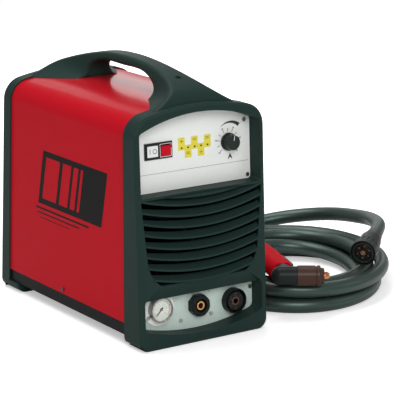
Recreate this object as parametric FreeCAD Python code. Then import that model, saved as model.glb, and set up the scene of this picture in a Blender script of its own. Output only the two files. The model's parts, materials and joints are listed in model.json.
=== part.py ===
import FreeCAD, Part
import math
import os
from FreeCAD import Vector, Rotation, Placement

# Plasma cutter unit with its torch, hose and central plug. Millimetres.
# X is the width, Y runs from the front (negative) to the rear, Z is up from the floor.

# Overall case
WIDTH = 243.0                 # across the two moulded bezels
HEIGHT = 379.0                # crown of the bezels, handle not counted
FRONT_FOOT_Y = -215.0         # front face at floor level
REAR_FOOT_Y = 236.0           # rear face at floor level
FRONT_LEAN = 2.7              # degrees that the front face leans back
REAR_LEAN = 3.8               # degrees that the rear face leans forward
CROWN_RADIUS = 420.0          # gentle arch of the top
SHOULDER = 36.0               # radius where side turns into top
TOE = 17.0                    # radius at the bottom corners
BEZEL_WALL = 2.6
FIT = 0.2                     # clearance between parts that are pushed together
SHEET = 1.2                   # red cover
PANEL = 1.5                   # plates and base tray
REACH = 2 * (WIDTH + HEIGHT)  # longer than the case, for bodies that trim others

# Front bezel
FRONT_BEZEL_REAR_Y = -165.5   # edge where the cover shows
RIM_BEVEL = 4.0               # bevel round both end faces
FRONT_RIM = 8.5               # width of the rim beside the two recesses
CONTROL_DEPTH = 30.0          # recess of the control plate
CONTROL_LOW = 244.0
CONTROL_TOP = HEIGHT - 11.5   # under the crown
CONTROL_SIDE_TOP = CONTROL_TOP - 24.0
CONTROL_MIDDLE = (CONTROL_LOW + CONTROL_TOP) / 2
CONTROL_ROUND = 6.0           # corners of that recess
LINE_DEPTH = 30.0             # recess of the connection plate
LINE_LOW = 16.0
LINE_SIDE_LOW = 34.0
LINE_ROUND = 10.0             # corners of that recess
LINE_SIDE_TOP = 80.0
LINE_TOP = 100.0
BROW_DEPTH = 10.0             # lip that hangs over the connections
BROW_LOW = 79.0
BROW_LIP = 3.0
LINE_CEILING = 93.0

# Louvred grille of the front bezel
GRILLE_TOP = 240.0
GRILLE_LOW = 102.0
GRILLE_HALF_TOP = WIDTH / 2 - 8.0
GRILLE_HALF_MID = WIDTH / 2 - 17.0
GRILLE_MID = 144.0
GRILLE_HALF_LOW = WIDTH / 2 - 42.0
LOUVRES = 8
LOUVRE_PITCH = 17.3
LOUVRE_FIRST = 221.0          # lower edge of the top louvre at the middle
LOUVRE_SMILE = 15.0           # how far the ends stand above the middle
LOUVRE_THICK = 3.2
LOUVRE_RUN = 15.0             # depth of a blade
LOUVRE_DROP = 9.0             # fall of a blade from back to front
BULGE = 5.0                   # the middle of the grille stands proud by this

# Rear bezel
REAR_BEZEL_FRONT_Y = 207.0    # its front edge at floor level
REAR_BEZEL_LEAN = 3.3
REAR_RIM = 15.0
REAR_PANEL_DEPTH = 11.0
SKID_LENGTH = 30.0
SKID_HEIGHT = 17.0
SKID_WIDTH = 30.0

# Cover and tray
COVER_LOW = 37.0
COVER_LAP = 14.0              # length tucked into each bezel
TRAY_LOW = 17.0
TRAY_SIDE_TOP = 56.0
TRAY_FRONT_Y = -177.0
TRAY_REAR_Y = 212.0
RIB = 4.0                     # ribs that carry the tray in both bezels
RIB_X = WIDTH / 2 - 32.0

COVER_SCREW_Y = (26.0,)       # one screw in the middle of each side

# Carrying handle: sections as outer and inner (y, height above the crown, half width)
GRIP_TOP = 49.0               # above the crown
GRIP_LOW = 32.0
GRIP_HALF = 18.0
GRIP_ROUND = 7.0
HANDLE_MID_Y = 4.0
HANDLE_FRONT_LEG = ((-197.0, -13.0, 98.0, -108.0, -30.0, 86.0), (-174.0, 15.0, 43.0, -101.0, -3.0, 33.0),
                    (-151.0, 27.0, 29.0, -97.0, 9.0, 23.0), (-105.0, 39.5, 19.0, -80.0, 23.0, 20.0),
                    (-55.0, 46.5, 17.0, -48.0, 31.5, 18.0))
HANDLE_REAR_LEG = ((60.0, 46.0, 17.0, 52.0, 32.0, 18.0), (110.0, 37.0, 20.0, 88.0, 24.0, 20.0),
                   (155.0, 25.0, 30.0, 101.0, 9.0, 24.0), (180.0, 15.0, 42.0, 104.0, -2.0, 34.0),
                   (208.0, -12.0, 94.0, 110.0, -28.0, 84.0))
HANDLE_SEAT = 0.25            # the handle is this far from the case
HANDLE_SCREW_Y = 140.0
HANDLE_SCREW_RADIUS = 2.5
HANDLE_SCREW_HEAD = 4.4
HANDLE_SCREW_UNDER = 10.0     # material under a screw head
HANDLE_NUT = 8.0

# Controls, measured on the front face (x, height)
PLATE_GAP = 0.5
SWITCH_AT = (60.0 - WIDTH / 2, CONTROL_MIDDLE + 3.85)
SWITCH_FRAME = (51.0, 26.0)
SWITCH_BODY = (46.0, 21.0)
SWITCH_BODY_DEEP = 26.0
SWITCH_FRAME_THICK = 3.0
ROCKER_X = 12.5               # rocker centre beside the switch centre
ROCKER_SIZE = (18.0, 17.2)
ROCKER_PIVOT = 4.5            # pivot behind the front of the frame
ROCKER_PIN = 1.2
ROCKER_POCKET = 11.5
ROCKER_TILT = 8.0
ROCKER_GAP = 0.4
LED_AT = (-17.7, CONTROL_MIDDLE + 2.35)
LED_PITCH = 12.2
LED_COUNT = 5
LED_RADIUS = 1.5
KNOB_AT = (WIDTH / 2 - 51.0, CONTROL_MIDDLE + 2.25)
KNOB_RADIUS = 14.3
KNOB_LENGTH = 16.0
KNOB_GAP = 0.8
KNOB_FLUTES = 10
KNOB_REST = 10.0              # pointer, degrees clockwise from upright
KNOB_SHAFT_RADIUS = 3.0
POT_RADIUS = 8.5
POT_WELL = 8.0                # how far the shaft goes into the potentiometer
RUN = 0.06                    # radial clearance where one part turns on another
BUSH_RADIUS = 4.5
BOARD_DEPTH = 43.0            # control board behind the front face
BOARD_THICK = 1.6
BOARD_X = (-30.0, WIDTH / 2 - 18.0)
BOARD_H = (CONTROL_MIDDLE - 43.75, CONTROL_MIDDLE + 34.25)
CHIPS = 3
CHIP_PITCH = 32.0
CHIP = (20.0, 5.0, 12.0)      # width, thickness, height
CHIP_FROM = 20.0              # first chip from the board's left and lower edges
BOARD_PLUG = (50.0, 11.0, 10.0)
BOARD_PLUG_FROM = (30.0, 50.0)
BOSS_RADIUS = 4.0
SCREW_RADIUS = 1.7
SCREW_HEAD = 3.2
SCREW_HEAD_TALL = 1.8
SCREW_LENGTH = 9.0
PLATE_SCREW_X = WIDTH / 2 - 15.0
PLATE_SCREWS = ((-PLATE_SCREW_X, CONTROL_LOW + 7.0), (PLATE_SCREW_X, CONTROL_LOW + 7.0),
                (5.0 - PLATE_SCREW_X, CONTROL_SIDE_TOP - 5.5), (PLATE_SCREW_X - 5.0, CONTROL_SIDE_TOP - 3.5))
LINE_SCREWS = ((-PLATE_SCREW_X, 66.0), (PLATE_SCREW_X, 66.0), (-28.0, 32.0), (30.0, 34.0))

# Connections, measured on the front face
GAUGE_AT = (52.0 - WIDTH / 2, 59.0)
GAUGE_RADIUS = 20.0
GAUGE_FLANGE = 28.0
GAUGE_FLANGE_THICK = 2.0
GAUGE_FRONT = 13.0
GAUGE_BACK = 22.0
GAUGE_WALL = 1.6
GAUGE_SCREW_RING = 24.0
GAUGE_WELL = 5.5
GAUGE_STEM = 5.0
NEEDLE_LENGTH = 13.0
NEEDLE_PIN = 0.9
NEEDLE_REST = 225.0           # zero mark, degrees anticlockwise from the right
DIAL_THICK = 0.8
LENS_THICK = 1.5
EARTH_AT = (3.7, 53.3)
EARTH_RADIUS = 17.0
EARTH_FRONT = 13.0
EARTH_BACK = 24.0
EARTH_BRASS = 7.2
EARTH_BORE = 4.6
EARTH_NECK = 14.0
EARTH_WELL = 11.0
EARTH_WELL_DEEP = 8.0
EARTH_BORE_DEEP = 30.0
TORCH_SOCKET_AT = (WIDTH / 2 - 50.0, 49.5)
TORCH_SOCKET_RADIUS = 20.5
TORCH_SOCKET_FRONT = 12.0
TORCH_SOCKET_BACK = 26.0
TORCH_SOCKET_NECK = 17.5
SOCKET_PIN_RING = 10.5
SOCKET_PINS = 6
SOCKET_PIN = 1.5
SOCKET_RING_WALL = 1.5
SOCKET_WELL_DEEP = 10.0       # groove round the nose, for the wall of the plug
SOCKET_NOSE = 15.0
SOCKET_NOSE_BACK = 1.5        # the nose ends this far behind the ring
SOCKET_SLEEVE = 6.6
SOCKET_SLEEVE_WALL = 0.7
SOCKET_NUT = 5.0              # thickness of the nuts behind the plate

# Cooling and air at the rear (x, height on the rear face)
FAN_AT = (18.0, 218.0)
FAN_SIZE = 120.0
FAN_BORE = 56.5
FAN_DEPTH = 32.0
FAN_STATOR = 4.0
FAN_HUB = 21.0
FAN_BLADES = 7
FAN_BLADE = 38.0              # width of a blade before it is turned
FAN_BLADE_THICK = 1.8
FAN_PITCH = 42.0
FAN_TIP_GAP = 1.5
FAN_AXLE = 3.0
FAN_SCREW = 52.5              # screws from the fan's middle, across and up
GUARD_BAR = 1.3
GUARD_THICK = 2.0
GUARD_RINGS = (13.0, 28.0, 43.0, 58.0)
PANEL_SCREW_X = WIDTH / 2 - 9.0
PANEL_SCREWS = ((-PANEL_SCREW_X, 60.0), (PANEL_SCREW_X, 60.0), (-PANEL_SCREW_X, 320.0), (PANEL_SCREW_X, 320.0))
LIP_SEAT = 6.0                # screw heads sit this deep in the rear lip
GLAND_AT = (WIDTH / 2 - 59.5, 84.0)
GLAND_RADIUS = 14.0
GLAND_NECK = 10.0
GLAND_BORE = 7.0
REG_X = 43.5 - WIDTH / 2
REG_WIDE = 40.0
REG_DEEP = 44.0
REG_KNOB_H = 188.0
REG_H = (REG_KNOB_H - 54.0, REG_KNOB_H + 18.0)        # foot and top of the regulator block
REG_KNOB_RADIUS = 15.0
REG_KNOB_LENGTH = 20.0
REG_KNOB_GROOVES = 12
REG_STEM = 7.0
REG_STEM_OUT = 12.0
INLET_H = REG_KNOB_H - 38.0
INLET_RADIUS = 6.6
INLET_BORE = 3.0
INLET_HEX = 17.0
INLET_HEX_TALL = 6.0
INLET_LENGTH = 20.0
INLET_BARB = 5.6
INLET_THREAD = 10.0
BOWL_RADIUS = 17.0
BOWL_WALL = 2.5
BOWL_LENGTH = 40.0
BOWL_SEAT = 6.0
VALVE = (28.0, 30.0, 24.0)    # valve block: width, depth, height
VALVE_H = REG_KNOB_H - 34.0
VALVE_COIL = 34.0
PIPE_RADIUS = 3.0

# Power stage, standing on the tray
SINK_X = (12.0 - WIDTH / 2, -20.0)
SINK_Y = (-60.0, 110.0)
SINK_TALL = 54.0
SINK_BASE = 9.0
SINK_FINS = 11
SINK_FIN = 2.0
MODULES = 3
MODULE = (34.0, 40.0, 17.0)
BOARD_SHORT = 4.0             # the power board ends this far inside the heatsink
CAP_RADIUS = 17.5
CAP_HEIGHT = 52.0
CORE_AT = (WIDTH / 2 - 61.0, 28.0)
CORE_SIZE = (66.0, 52.0, 62.0)
CORE_LEG = 11.0
WINDOW = 12.0
WINDING_OUT = 11.0
WINDING_GAP = 0.5
CHOKE_AT = (WIDTH / 2 - 58.0, -95.0)
CHOKE_RADIUS = 38.0
CHOKE_BORE = 18.0
CHOKE_TALL = 24.0
HF_BOX = (35.0, WIDTH / 2 - 21.0, 100.0, 150.0)
HF_TALL = 50.0

# Hose: an oval coil on the floor and its two free runs
HOSE = 25.0                   # outer diameter
COIL_AT = (311.0, -32.0)
COIL_TURN = -34.35            # direction of the short axis from +X, degrees
COIL_HALF_SHORT = 159.0
COIL_HALF_LONG = 192.0
TURN_STEP = HOSE + 1.4        # the turns lie this far apart
LAYER_STEP = HOSE + 1.2
TOP_QUARTERS = 7
CLIMB_QUARTERS = 2
LOW_QUARTERS = 6
BEND_SHARE = 0.45             # share of the shorter run that a bend takes

# Torch, lying on the coil
CUP_AT = (198.3, -190.1)      # root of the retaining cap
CUP_REST = 0.5                # the cap lies this far above the coil
NOZZLE_TURN = -34.35          # direction of the nozzle from +X, degrees
GRIP_TURN = 71.0              # direction of the torch grip from +X, degrees
CUP_RADIUS = 17.0
CUP_LENGTH = 38.0
CUP_WALL = 3.0
CUP_NOSE = 6.0
CUP_NOSE_RADIUS = 12.5
CUP_GROOVE = 1.5
SPIGOT = 12.0                 # part of the head that goes into the cap
TIP_RADIUS = 6.5
TIP_WALL = 1.4
TIP_LENGTH = 9.0              # beyond the cap
TIP_ORIFICE = 0.8
ELECTRODE_RADIUS = 4.3
HEAD_RADIUS = 15.5
ELBOW = 17.0                  # from the cap's root back to the middle of the elbow
HEAD_LENGTH = 43.0            # from the cap's root to the rounded end
GRIP_FROM = 24.0              # from the elbow to the grip
TORCH_GRIP_LENGTH = 146.0
TORCH_GRIP_HALF = 20.0        # in the plane of the torch
TORCH_GRIP_THICK = 16.0       # half, square to that plane
TORCH_GRIP_TAPER = 3.0
TRIGGER_FROM = 14.0           # along the grip
TRIGGER_LENGTH = 60.0
TRIGGER_WIDE = 13.0
TRIGGER_PROUD = 4.5
TRIGGER_DEEP = 9.0
TRIGGER_TRAVEL = 6.0
TRIGGER_GAP = 1.2
PIVOT_IN = 5.0                # pivot from the end of the trigger
PIVOT_RADIUS = 1.5
BOOT_LENGTH = 30.0
BOOT_RADIUS = 16.0
BOOT_END = 14.0

# Central plug at the far end of the hose, in the coil's own directions
PLUG_AT = (113.0, -78.0, 74.5)
PLUG_AIM = (-0.295, -0.951, -0.09)
PLUG_RING_RADIUS = 22.5
PLUG_RING_LENGTH = 26.0
PLUG_BODY_RADIUS = 18.5
PLUG_SHOULDER = 21.0
PLUG_SHOULDER_LENGTH = 6.0
PLUG_BODY_LENGTH = 34.0
PLUG_BOOT_LENGTH = 28.0
PLUG_MOUTH = 10.0             # the ring is wider inside for the socket's ring
PLUG_WELL = 13.0
PLUG_PIN = 4.6
PLUG_PIN_LENGTH = 12.0
PLUG_GROOVES = 16

# Free runs of the hose between those ends, in the coil's own directions
TORCH_RUN_FIRST = 34.0        # straight run out of the torch's boot
TORCH_RUN = ((-117.0, 77.0, 68.0), (-126.0, 114.0, 61.0), (-117.0, 152.0, 52.0), (-91.0, 180.0, 43.0))
TORCH_RUN_LAST = 29.0         # straight run into the coil
PLUG_RUN_FIRST = 47.0         # straight run out of the coil
PLUG_RUN = ((-150.0, 150.0, 20.0), (-106.0, 217.0, 34.0), (-28.0, 250.0, 50.0),
            (74.0, 229.0, 66.0), (137.0, 146.0, 79.0), (152.0, 86.0, 86.0))
PLUG_RUN_LAST = 41.0          # straight run into the boot of the plug


def box(x0, x1, y0, y1, z0, z1):
    return Part.makeBox(x1 - x0, y1 - y0, z1 - z0, Vector(x0, y0, z0))


def rod(radius, length, at, along):
    return Part.makeCylinder(radius, length, at, along)


def tube(outer, inner, length, at, along):
    return rod(outer, length, at, along).cut(rod(inner, length, at, along))


def polygon_face(points):
    """A flat face from corner points."""
    corners = [Vector(*p) for p in points]
    return Part.Face(Part.makePolygon(corners + corners[:1]))


def save(name, *solids):
    """Writes one sub-part, as one solid or as a group of separate solids."""
    found = [s for shape in solids for s in shape.Solids]
    shape = found[0] if len(found) == 1 else Part.makeCompound(found)
    if not shape.isValid():
        print("not valid:", name)
    shape.exportStep("parts/" + name + ".step")
    print(name, len(found), "solid(s)", round(sum(s.Volume for s in found) / 1000, 1), "cm3")


INWARD = Vector(0, 1, 0)      # in the coordinates of the front face
OUTWARD = Vector(0, 1, 0)     # in the coordinates of the rear face
UP = Vector(0, 0, 1)


def front_point(at, depth):
    return Vector(at[0], depth, at[1])


def placed(shape, at, turn_axis=Vector(0, 0, 1), degrees=0.0):
    moved = shape.copy()
    moved.Placement = Placement(at, Rotation(turn_axis, degrees)).multiply(moved.Placement)
    return moved


def on_front(shape):
    """From front face coordinates (x, depth, height) to the case."""
    return placed(shape, Vector(0, FRONT_FOOT_Y, 0), Vector(1, 0, 0), -FRONT_LEAN)


def on_rear(shape):
    """From rear face coordinates (x, outward, height) to the case."""
    return placed(shape, Vector(0, REAR_FOOT_Y, 0), Vector(1, 0, 0), REAR_LEAN)


def case_form(inset, y0, y1, low=0.0):
    """The arched section of the case, moved in by a wall, from y0 to y1."""
    half = WIDTH / 2 - inset
    top = HEIGHT - inset
    corner = top - half * half / (2 * CROWN_RADIUS)
    side_left = Part.LineSegment(Vector(-half, y0, low), Vector(-half, y0, corner)).toShape()
    crown = Part.Arc(Vector(-half, y0, corner), Vector(0, y0, top), Vector(half, y0, corner)).toShape()
    side_right = Part.LineSegment(Vector(half, y0, corner), Vector(half, y0, low)).toShape()
    floor = Part.LineSegment(Vector(half, y0, low), Vector(-half, y0, low)).toShape()
    solid = Part.Face(Part.Wire([side_left, crown, side_right, floor])).extrude(Vector(0, y1 - y0, 0))
    shoulders = long_edges(solid, half, corner)
    return solid.makeFillet(SHOULDER - inset, shoulders)


def long_edges(solid, half, height):
    """The two edges along Y at the given half width and height."""
    return [e for e in solid.Edges
            if abs(abs(e.CenterOfMass.x) - half) < 0.01 and abs(e.CenterOfMass.z - height) < 0.01
            and e.BoundBox.YLength > 1.0]


def rounded_bottom(solid, half, radius):
    return solid.makeFillet(radius, long_edges(solid, half, 0.0))


def front_half_space(depth):
    """Everything behind the front face by the given depth."""
    return on_front(box(-REACH, REACH, depth, REACH, -REACH, REACH))


def rear_half_space(depth):
    """Everything in front of the rear face by the given depth."""
    return on_rear(box(-REACH, REACH, -REACH, -depth, -REACH, REACH))


def front_outline_prism(edges, depth0, depth1):
    """A prism from a closed outline on the front face (x, height)."""
    wire = Part.Wire(edges)
    face = Part.Face(wire)
    face.translate(Vector(0, depth0, 0))
    return face.extrude(Vector(0, depth1 - depth0, 0))


def rounded_prism(edges, depth0, depth1, radius):
    """A prism on the front face whose upright corners are rounded."""
    prism = front_outline_prism(edges, depth0, depth1)
    return prism.makeFillet(radius, [e for e in prism.Edges if e.BoundBox.YLength > 1.0])


def flat_line(a, b):
    return Part.LineSegment(Vector(a[0], 0, a[1]), Vector(b[0], 0, b[1])).toShape()


def flat_arc(a, b, c):
    return Part.Arc(Vector(a[0], 0, a[1]), Vector(b[0], 0, b[1]), Vector(c[0], 0, c[1])).toShape()


def control_outline(grow):
    """Recess of the control plate: straight foot and sides under a low arch."""
    half = WIDTH / 2 - FRONT_RIM + grow
    low = CONTROL_LOW - grow
    side = CONTROL_SIDE_TOP
    return [flat_line((-half, low), (-half, side)),
            flat_arc((-half, side), (0, CONTROL_TOP + grow), (half, side)),
            flat_line((half, side), (half, low)),
            flat_line((half, low), (-half, low))]


def control_prism(grow, depth0, depth1):
    return rounded_prism(control_outline(grow), depth0, depth1, CONTROL_ROUND + grow)


def line_outline(grow, top):
    """Recess of the connections: a curved foot, upright sides and drooping top corners."""
    half = WIDTH / 2 - FRONT_RIM - 1.5 + grow
    droop = 26.0
    return [flat_arc((-half, LINE_SIDE_LOW), (0, LINE_LOW - grow), (half, LINE_SIDE_LOW)),
            flat_line((half, LINE_SIDE_LOW), (half, LINE_SIDE_TOP)),
            flat_line((half, LINE_SIDE_TOP), (half - droop, top + grow)),
            flat_line((half - droop, top + grow), (droop - half, top + grow)),
            flat_line((droop - half, top + grow), (-half, LINE_SIDE_TOP)),
            flat_line((-half, LINE_SIDE_TOP), (-half, LINE_SIDE_LOW))]


def line_prism(grow, top, depth0, depth1):
    return rounded_prism(line_outline(grow, top), depth0, depth1, LINE_ROUND + grow)


def line_recess():
    """Space of the connection recess, under the brow that hangs over it."""
    space = line_prism(0, LINE_TOP, -20, LINE_DEPTH)
    brow = polygon_face([(-WIDTH, 0, LINE_TOP), (-WIDTH, BROW_DEPTH, BROW_LOW),
                         (-WIDTH, BROW_DEPTH + BROW_LIP, BROW_LOW),
                         (-WIDTH, BROW_DEPTH + BROW_LIP, LINE_CEILING),
                         (-WIDTH, LINE_DEPTH + 1, LINE_CEILING),
                         (-WIDTH, LINE_DEPTH + 1, LINE_TOP + 5), (-WIDTH, 0, LINE_TOP + 5)])
    return space.cut(brow.extrude(Vector(2 * WIDTH, 0, 0)))


def grille_outline(grow):
    """Shield shape of the louvred opening."""
    top = GRILLE_HALF_TOP + grow
    mid = GRILLE_HALF_MID + grow
    low = GRILLE_HALF_LOW + grow
    h_top = GRILLE_TOP + grow
    h_low = GRILLE_LOW - grow
    bow = ((mid + low) / 2 + 5.0, (GRILLE_MID + GRILLE_LOW) / 2 - 3.0)
    return [flat_line((-top, h_top), (top, h_top)),
            flat_line((top, h_top), (mid, GRILLE_MID)),
            flat_arc((mid, GRILLE_MID), bow, (low, h_low)),
            flat_line((low, h_low), (-low, h_low)),
            flat_arc((-low, h_low), (-bow[0], bow[1]), (-mid, GRILLE_MID)),
            flat_line((-mid, GRILLE_MID), (-top, h_top))]


def louvre(edge, thick, run, drop):
    """One curved blade whose lower front edge dips in the middle, falling to the front."""
    half = WIDTH / 2
    rise = LOUVRE_SMILE
    lower = flat_arc((-half, edge + rise), (0, edge), (half, edge + rise))
    upper = flat_arc((half, edge + thick + rise), (0, edge + thick), (-half, edge + thick + rise))
    right = flat_line((half, edge + rise), (half, edge + thick + rise))
    left = flat_line((-half, edge + thick + rise), (-half, edge + rise))
    face = Part.Face(Part.Wire([lower, right, upper, left]))
    face.translate(Vector(0, -BULGE - 2, 0))
    return face.extrude(Vector(0, run, drop))


def bulged_front(depth):
    """Body behind a bulging surface that stands proud in the middle of the grille."""
    half = GRILLE_HALF_TOP
    radius = (half * half + BULGE * BULGE) / (2 * BULGE)
    return Part.makeCylinder(radius, 2 * REACH, Vector(0, radius - BULGE + depth, -REACH), Vector(0, 0, 1))


def louvred_grille():
    """The blades of the front moulding, cut to the shield and to the bulging front."""
    band_low = LOUVRE_FIRST - (LOUVRES - 1) * LOUVRE_PITCH
    blades = []
    for i in range(LOUVRES):
        edge = band_low + i * LOUVRE_PITCH
        blades.append(louvre(edge, LOUVRE_THICK, LOUVRE_RUN, LOUVRE_DROP))
    space = front_outline_prism(grille_outline(0.3), -BULGE - 3, LOUVRE_RUN).common(bulged_front(0))
    return [b.common(space) for b in blades]


def grille_brow():
    """The smooth band above the first blade, bulging like the blades."""
    half = GRILLE_HALF_TOP
    edge = LOUVRE_FIRST + LOUVRE_PITCH - 3.0
    lower = flat_arc((-half - 5, edge + LOUVRE_SMILE), (0, edge), (half + 5, edge + LOUVRE_SMILE))
    upper = [flat_line((half + 5, edge + LOUVRE_SMILE), (half + 5, GRILLE_TOP + 20)),
             flat_line((half + 5, GRILLE_TOP + 20), (-half - 5, GRILLE_TOP + 20)),
             flat_line((-half - 5, GRILLE_TOP + 20), (-half - 5, edge + LOUVRE_SMILE))]
    face = Part.Face(Part.Wire([lower] + upper))
    face.translate(Vector(0, -BULGE - 2, 0))
    band = face.extrude(Vector(0, BULGE + 2 + BEZEL_WALL, 0))
    outline = front_outline_prism(grille_outline(0.3), -BULGE - 3, LOUVRE_RUN)
    return band.common(outline).common(bulged_front(0))


def front_bezel_blank():
    """Outer form of the front bezel, with its leaning face and rounded rim."""
    blank = rounded_bottom(case_form(0, FRONT_FOOT_Y - 10, FRONT_BEZEL_REAR_Y), WIDTH / 2, TOE)
    blank = blank.common(front_half_space(0))
    rim = [e for e in blank.Edges if on_front_face(e)]
    return blank.makeChamfer(RIM_BEVEL, rim)


def on_front_face(edge):
    """True if an edge lies in the leaning front face."""
    lean = math.tan(math.radians(FRONT_LEAN))
    return all(abs(v.Point.y - FRONT_FOOT_Y - lean * v.Point.z) < 0.01 for v in edge.Vertexes) and \
        abs(edge.CenterOfMass.y - FRONT_FOOT_Y - lean * edge.CenterOfMass.z) < 0.5


def board_corners():
    return [(x, h) for x in (BOARD_X[0] + 8, BOARD_X[1] - 8) for h in (BOARD_H[0] + 8, BOARD_H[1] - 8)]


def board_bosses():
    """Bosses that carry the control board behind the control recess."""
    back = CONTROL_DEPTH + BEZEL_WALL
    return [tube(BOSS_RADIUS, SCREW_RADIUS + FIT, BOARD_DEPTH - back, front_point(at, back), INWARD)
            for at in board_corners()]


def make_front_bezel():
    blank = front_bezel_blank()
    cavity = case_form(BEZEL_WALL, FRONT_FOOT_Y - 10, 0, BEZEL_WALL).common(front_half_space(BEZEL_WALL))
    back = CONTROL_DEPTH + BEZEL_WALL
    tubs = [control_prism(BEZEL_WALL, 0, back),
            line_prism(BEZEL_WALL, LINE_TOP, 0, LINE_DEPTH + BEZEL_WALL)]
    tubs = [on_front(t).common(blank) for t in tubs]
    ribs = [box(s * RIB_X - RIB / 2, s * RIB_X + RIB / 2, TRAY_FRONT_Y, FRONT_BEZEL_REAR_Y - 2,
                BEZEL_WALL - 0.5, TRAY_LOW) for s in (-1, 1)]
    bezel = blank.cut(cavity).fuse(tubs + ribs)
    mouth = front_outline_prism(grille_outline(0), -20, BEZEL_WALL + 1)
    pocket = control_prism(0, -20, CONTROL_DEPTH)
    bezel = bezel.cut([on_front(pocket), on_front(line_recess()), on_front(mouth)])
    grille = [on_front(b) for b in louvred_grille() + [grille_brow()]]
    bezel = bezel.fuse(grille + [on_front(b) for b in board_bosses()])
    holes = control_holes(CONTROL_DEPTH, back) + line_holes(LINE_DEPTH, LINE_DEPTH + BEZEL_WALL)
    return bezel.cut(holes).removeSplitter()


def control_holes(depth0, depth1):
    """Holes of the controls, the same in the plate and in the moulding behind it."""
    holes = [front_hole(KNOB_AT, BUSH_RADIUS + FIT, depth0, depth1),
             front_window(SWITCH_AT, SWITCH_BODY, depth0, depth1)]
    holes += [front_hole(led_place(i), LED_RADIUS + FIT, depth0, depth1) for i in range(LED_COUNT)]
    return holes + [front_hole(at, SCREW_RADIUS + FIT, depth0, depth1) for at in PLATE_SCREWS]


def line_holes(depth0, depth1):
    """Holes of the gauge and the two sockets, and of the plate's screws."""
    holes = [front_hole(GAUGE_AT, GAUGE_RADIUS + FIT, depth0, depth1),
             front_hole(EARTH_AT, EARTH_NECK + FIT, depth0, depth1),
             front_hole(TORCH_SOCKET_AT, TORCH_SOCKET_NECK + FIT, depth0, depth1)]
    places = LINE_SCREWS + gauge_screw_places()
    return holes + [front_hole(at, SCREW_RADIUS + FIT, depth0, depth1) for at in places]


def led_place(i):
    return (LED_AT[0] + i * LED_PITCH, LED_AT[1])


def gauge_screw_places():
    return tuple((GAUGE_AT[0] + GAUGE_SCREW_RING * math.cos(math.radians(a)),
                  GAUGE_AT[1] + GAUGE_SCREW_RING * math.sin(math.radians(a))) for a in (90, 210, 330))


def front_hole(at, radius, depth0, depth1):
    return on_front(rod(radius, depth1 - depth0 + 2, Vector(at[0], depth0 - 1, at[1]), Vector(0, 1, 0)))


def front_window(at, size, depth0, depth1):
    w, h = size[0] / 2 + FIT, size[1] / 2 + FIT
    return on_front(box(at[0] - w, at[0] + w, depth0 - 1, depth1 + 1, at[1] - h, at[1] + h))


def behind_lean(y, lean):
    """Everything behind a plane that meets the floor at y and leans forward."""
    return placed(box(-REACH, REACH, 0, REACH, -REACH, REACH), Vector(0, y, 0), Vector(1, 0, 0), lean)


def make_rear_bezel():
    """Moulded rear frame with a lip for the panel and two skids under the sides."""
    blank = rounded_bottom(case_form(0, 0, REAR_FOOT_Y + 20), WIDTH / 2, TOE)
    ring = blank.common(rear_half_space(0))
    rim = [e for e in ring.Edges if on_rear_face(e)]
    ring = ring.makeChamfer(RIM_BEVEL, rim)
    skids = [box(s * (WIDTH - SKID_WIDTH) / 2 - SKID_WIDTH / 2, s * (WIDTH - SKID_WIDTH) / 2 + SKID_WIDTH / 2,
                 REAR_BEZEL_FRONT_Y - SKID_LENGTH, REAR_BEZEL_FRONT_Y + 4, 0, SKID_HEIGHT) for s in (-1, 1)]
    skids = [s.common(blank) for s in skids]
    cavity = case_form(BEZEL_WALL, 0, REACH, BEZEL_WALL).common(rear_half_space(REAR_PANEL_DEPTH))
    mouth = case_form(REAR_RIM, 0, REACH, REAR_RIM)
    ring = ring.common(behind_lean(REAR_BEZEL_FRONT_Y, REAR_BEZEL_LEAN)).cut(cavity).cut(mouth)
    ribs = [box(s * RIB_X - RIB / 2, s * RIB_X + RIB / 2, REAR_BEZEL_FRONT_Y + 0.5,
                REAR_FOOT_Y - REAR_PANEL_DEPTH - PANEL - 2, BEZEL_WALL - 0.5, TRAY_LOW) for s in (-1, 1)]
    ring = ring.fuse(skids + ribs).removeSplitter()
    holes = []
    for at in PANEL_SCREWS:
        holes.append(on_rear(rod(SCREW_RADIUS + FIT, 40, rear_point(at, -40), OUTWARD)))
        holes.append(on_rear(rod(SCREW_HEAD + FIT, 40, rear_point(at, -LIP_SEAT), OUTWARD)))
    return ring.cut(holes)


def on_rear_face(edge):
    """True if an edge lies in the leaning rear face."""
    lean = math.tan(math.radians(REAR_LEAN))
    return all(abs(v.Point.y - REAR_FOOT_Y + lean * v.Point.z) < 0.01 for v in edge.Vertexes) and \
        abs(edge.CenterOfMass.y - REAR_FOOT_Y + lean * edge.CenterOfMass.z) < 0.5


def cover_half():
    """Half width of the cover, outside."""
    return WIDTH / 2 - BEZEL_WALL - FIT


def cover_screw_places():
    return [(side, y) for side in (-1, 1) for y in COVER_SCREW_Y]


def side_holes(radius):
    return [rod(radius, 20, Vector(s * (WIDTH / 2 + 5), y, COVER_LOW + 8), Vector(-s, 0, 0))
            for s, y in cover_screw_places()]


def make_cover():
    """Red sheet folded over the case, open below and at both ends."""
    out = BEZEL_WALL + FIT
    y0 = FRONT_BEZEL_REAR_Y - COVER_LAP
    skin = case_form(out, y0, REACH, 0).cut(case_form(out + SHEET, y0 - 5, REACH + 5, -5))
    skin = skin.common(box(-REACH, REACH, y0, REACH, COVER_LOW, REACH))
    skin = skin.common(rear_half_space(REAR_PANEL_DEPTH + PANEL + 1.0))
    holes = [rod(HANDLE_SCREW_RADIUS + FIT, 40, at - UP * 40, UP) for at in handle_screw_places()]
    return skin.cut(side_holes(SCREW_RADIUS + FIT) + holes)


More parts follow.
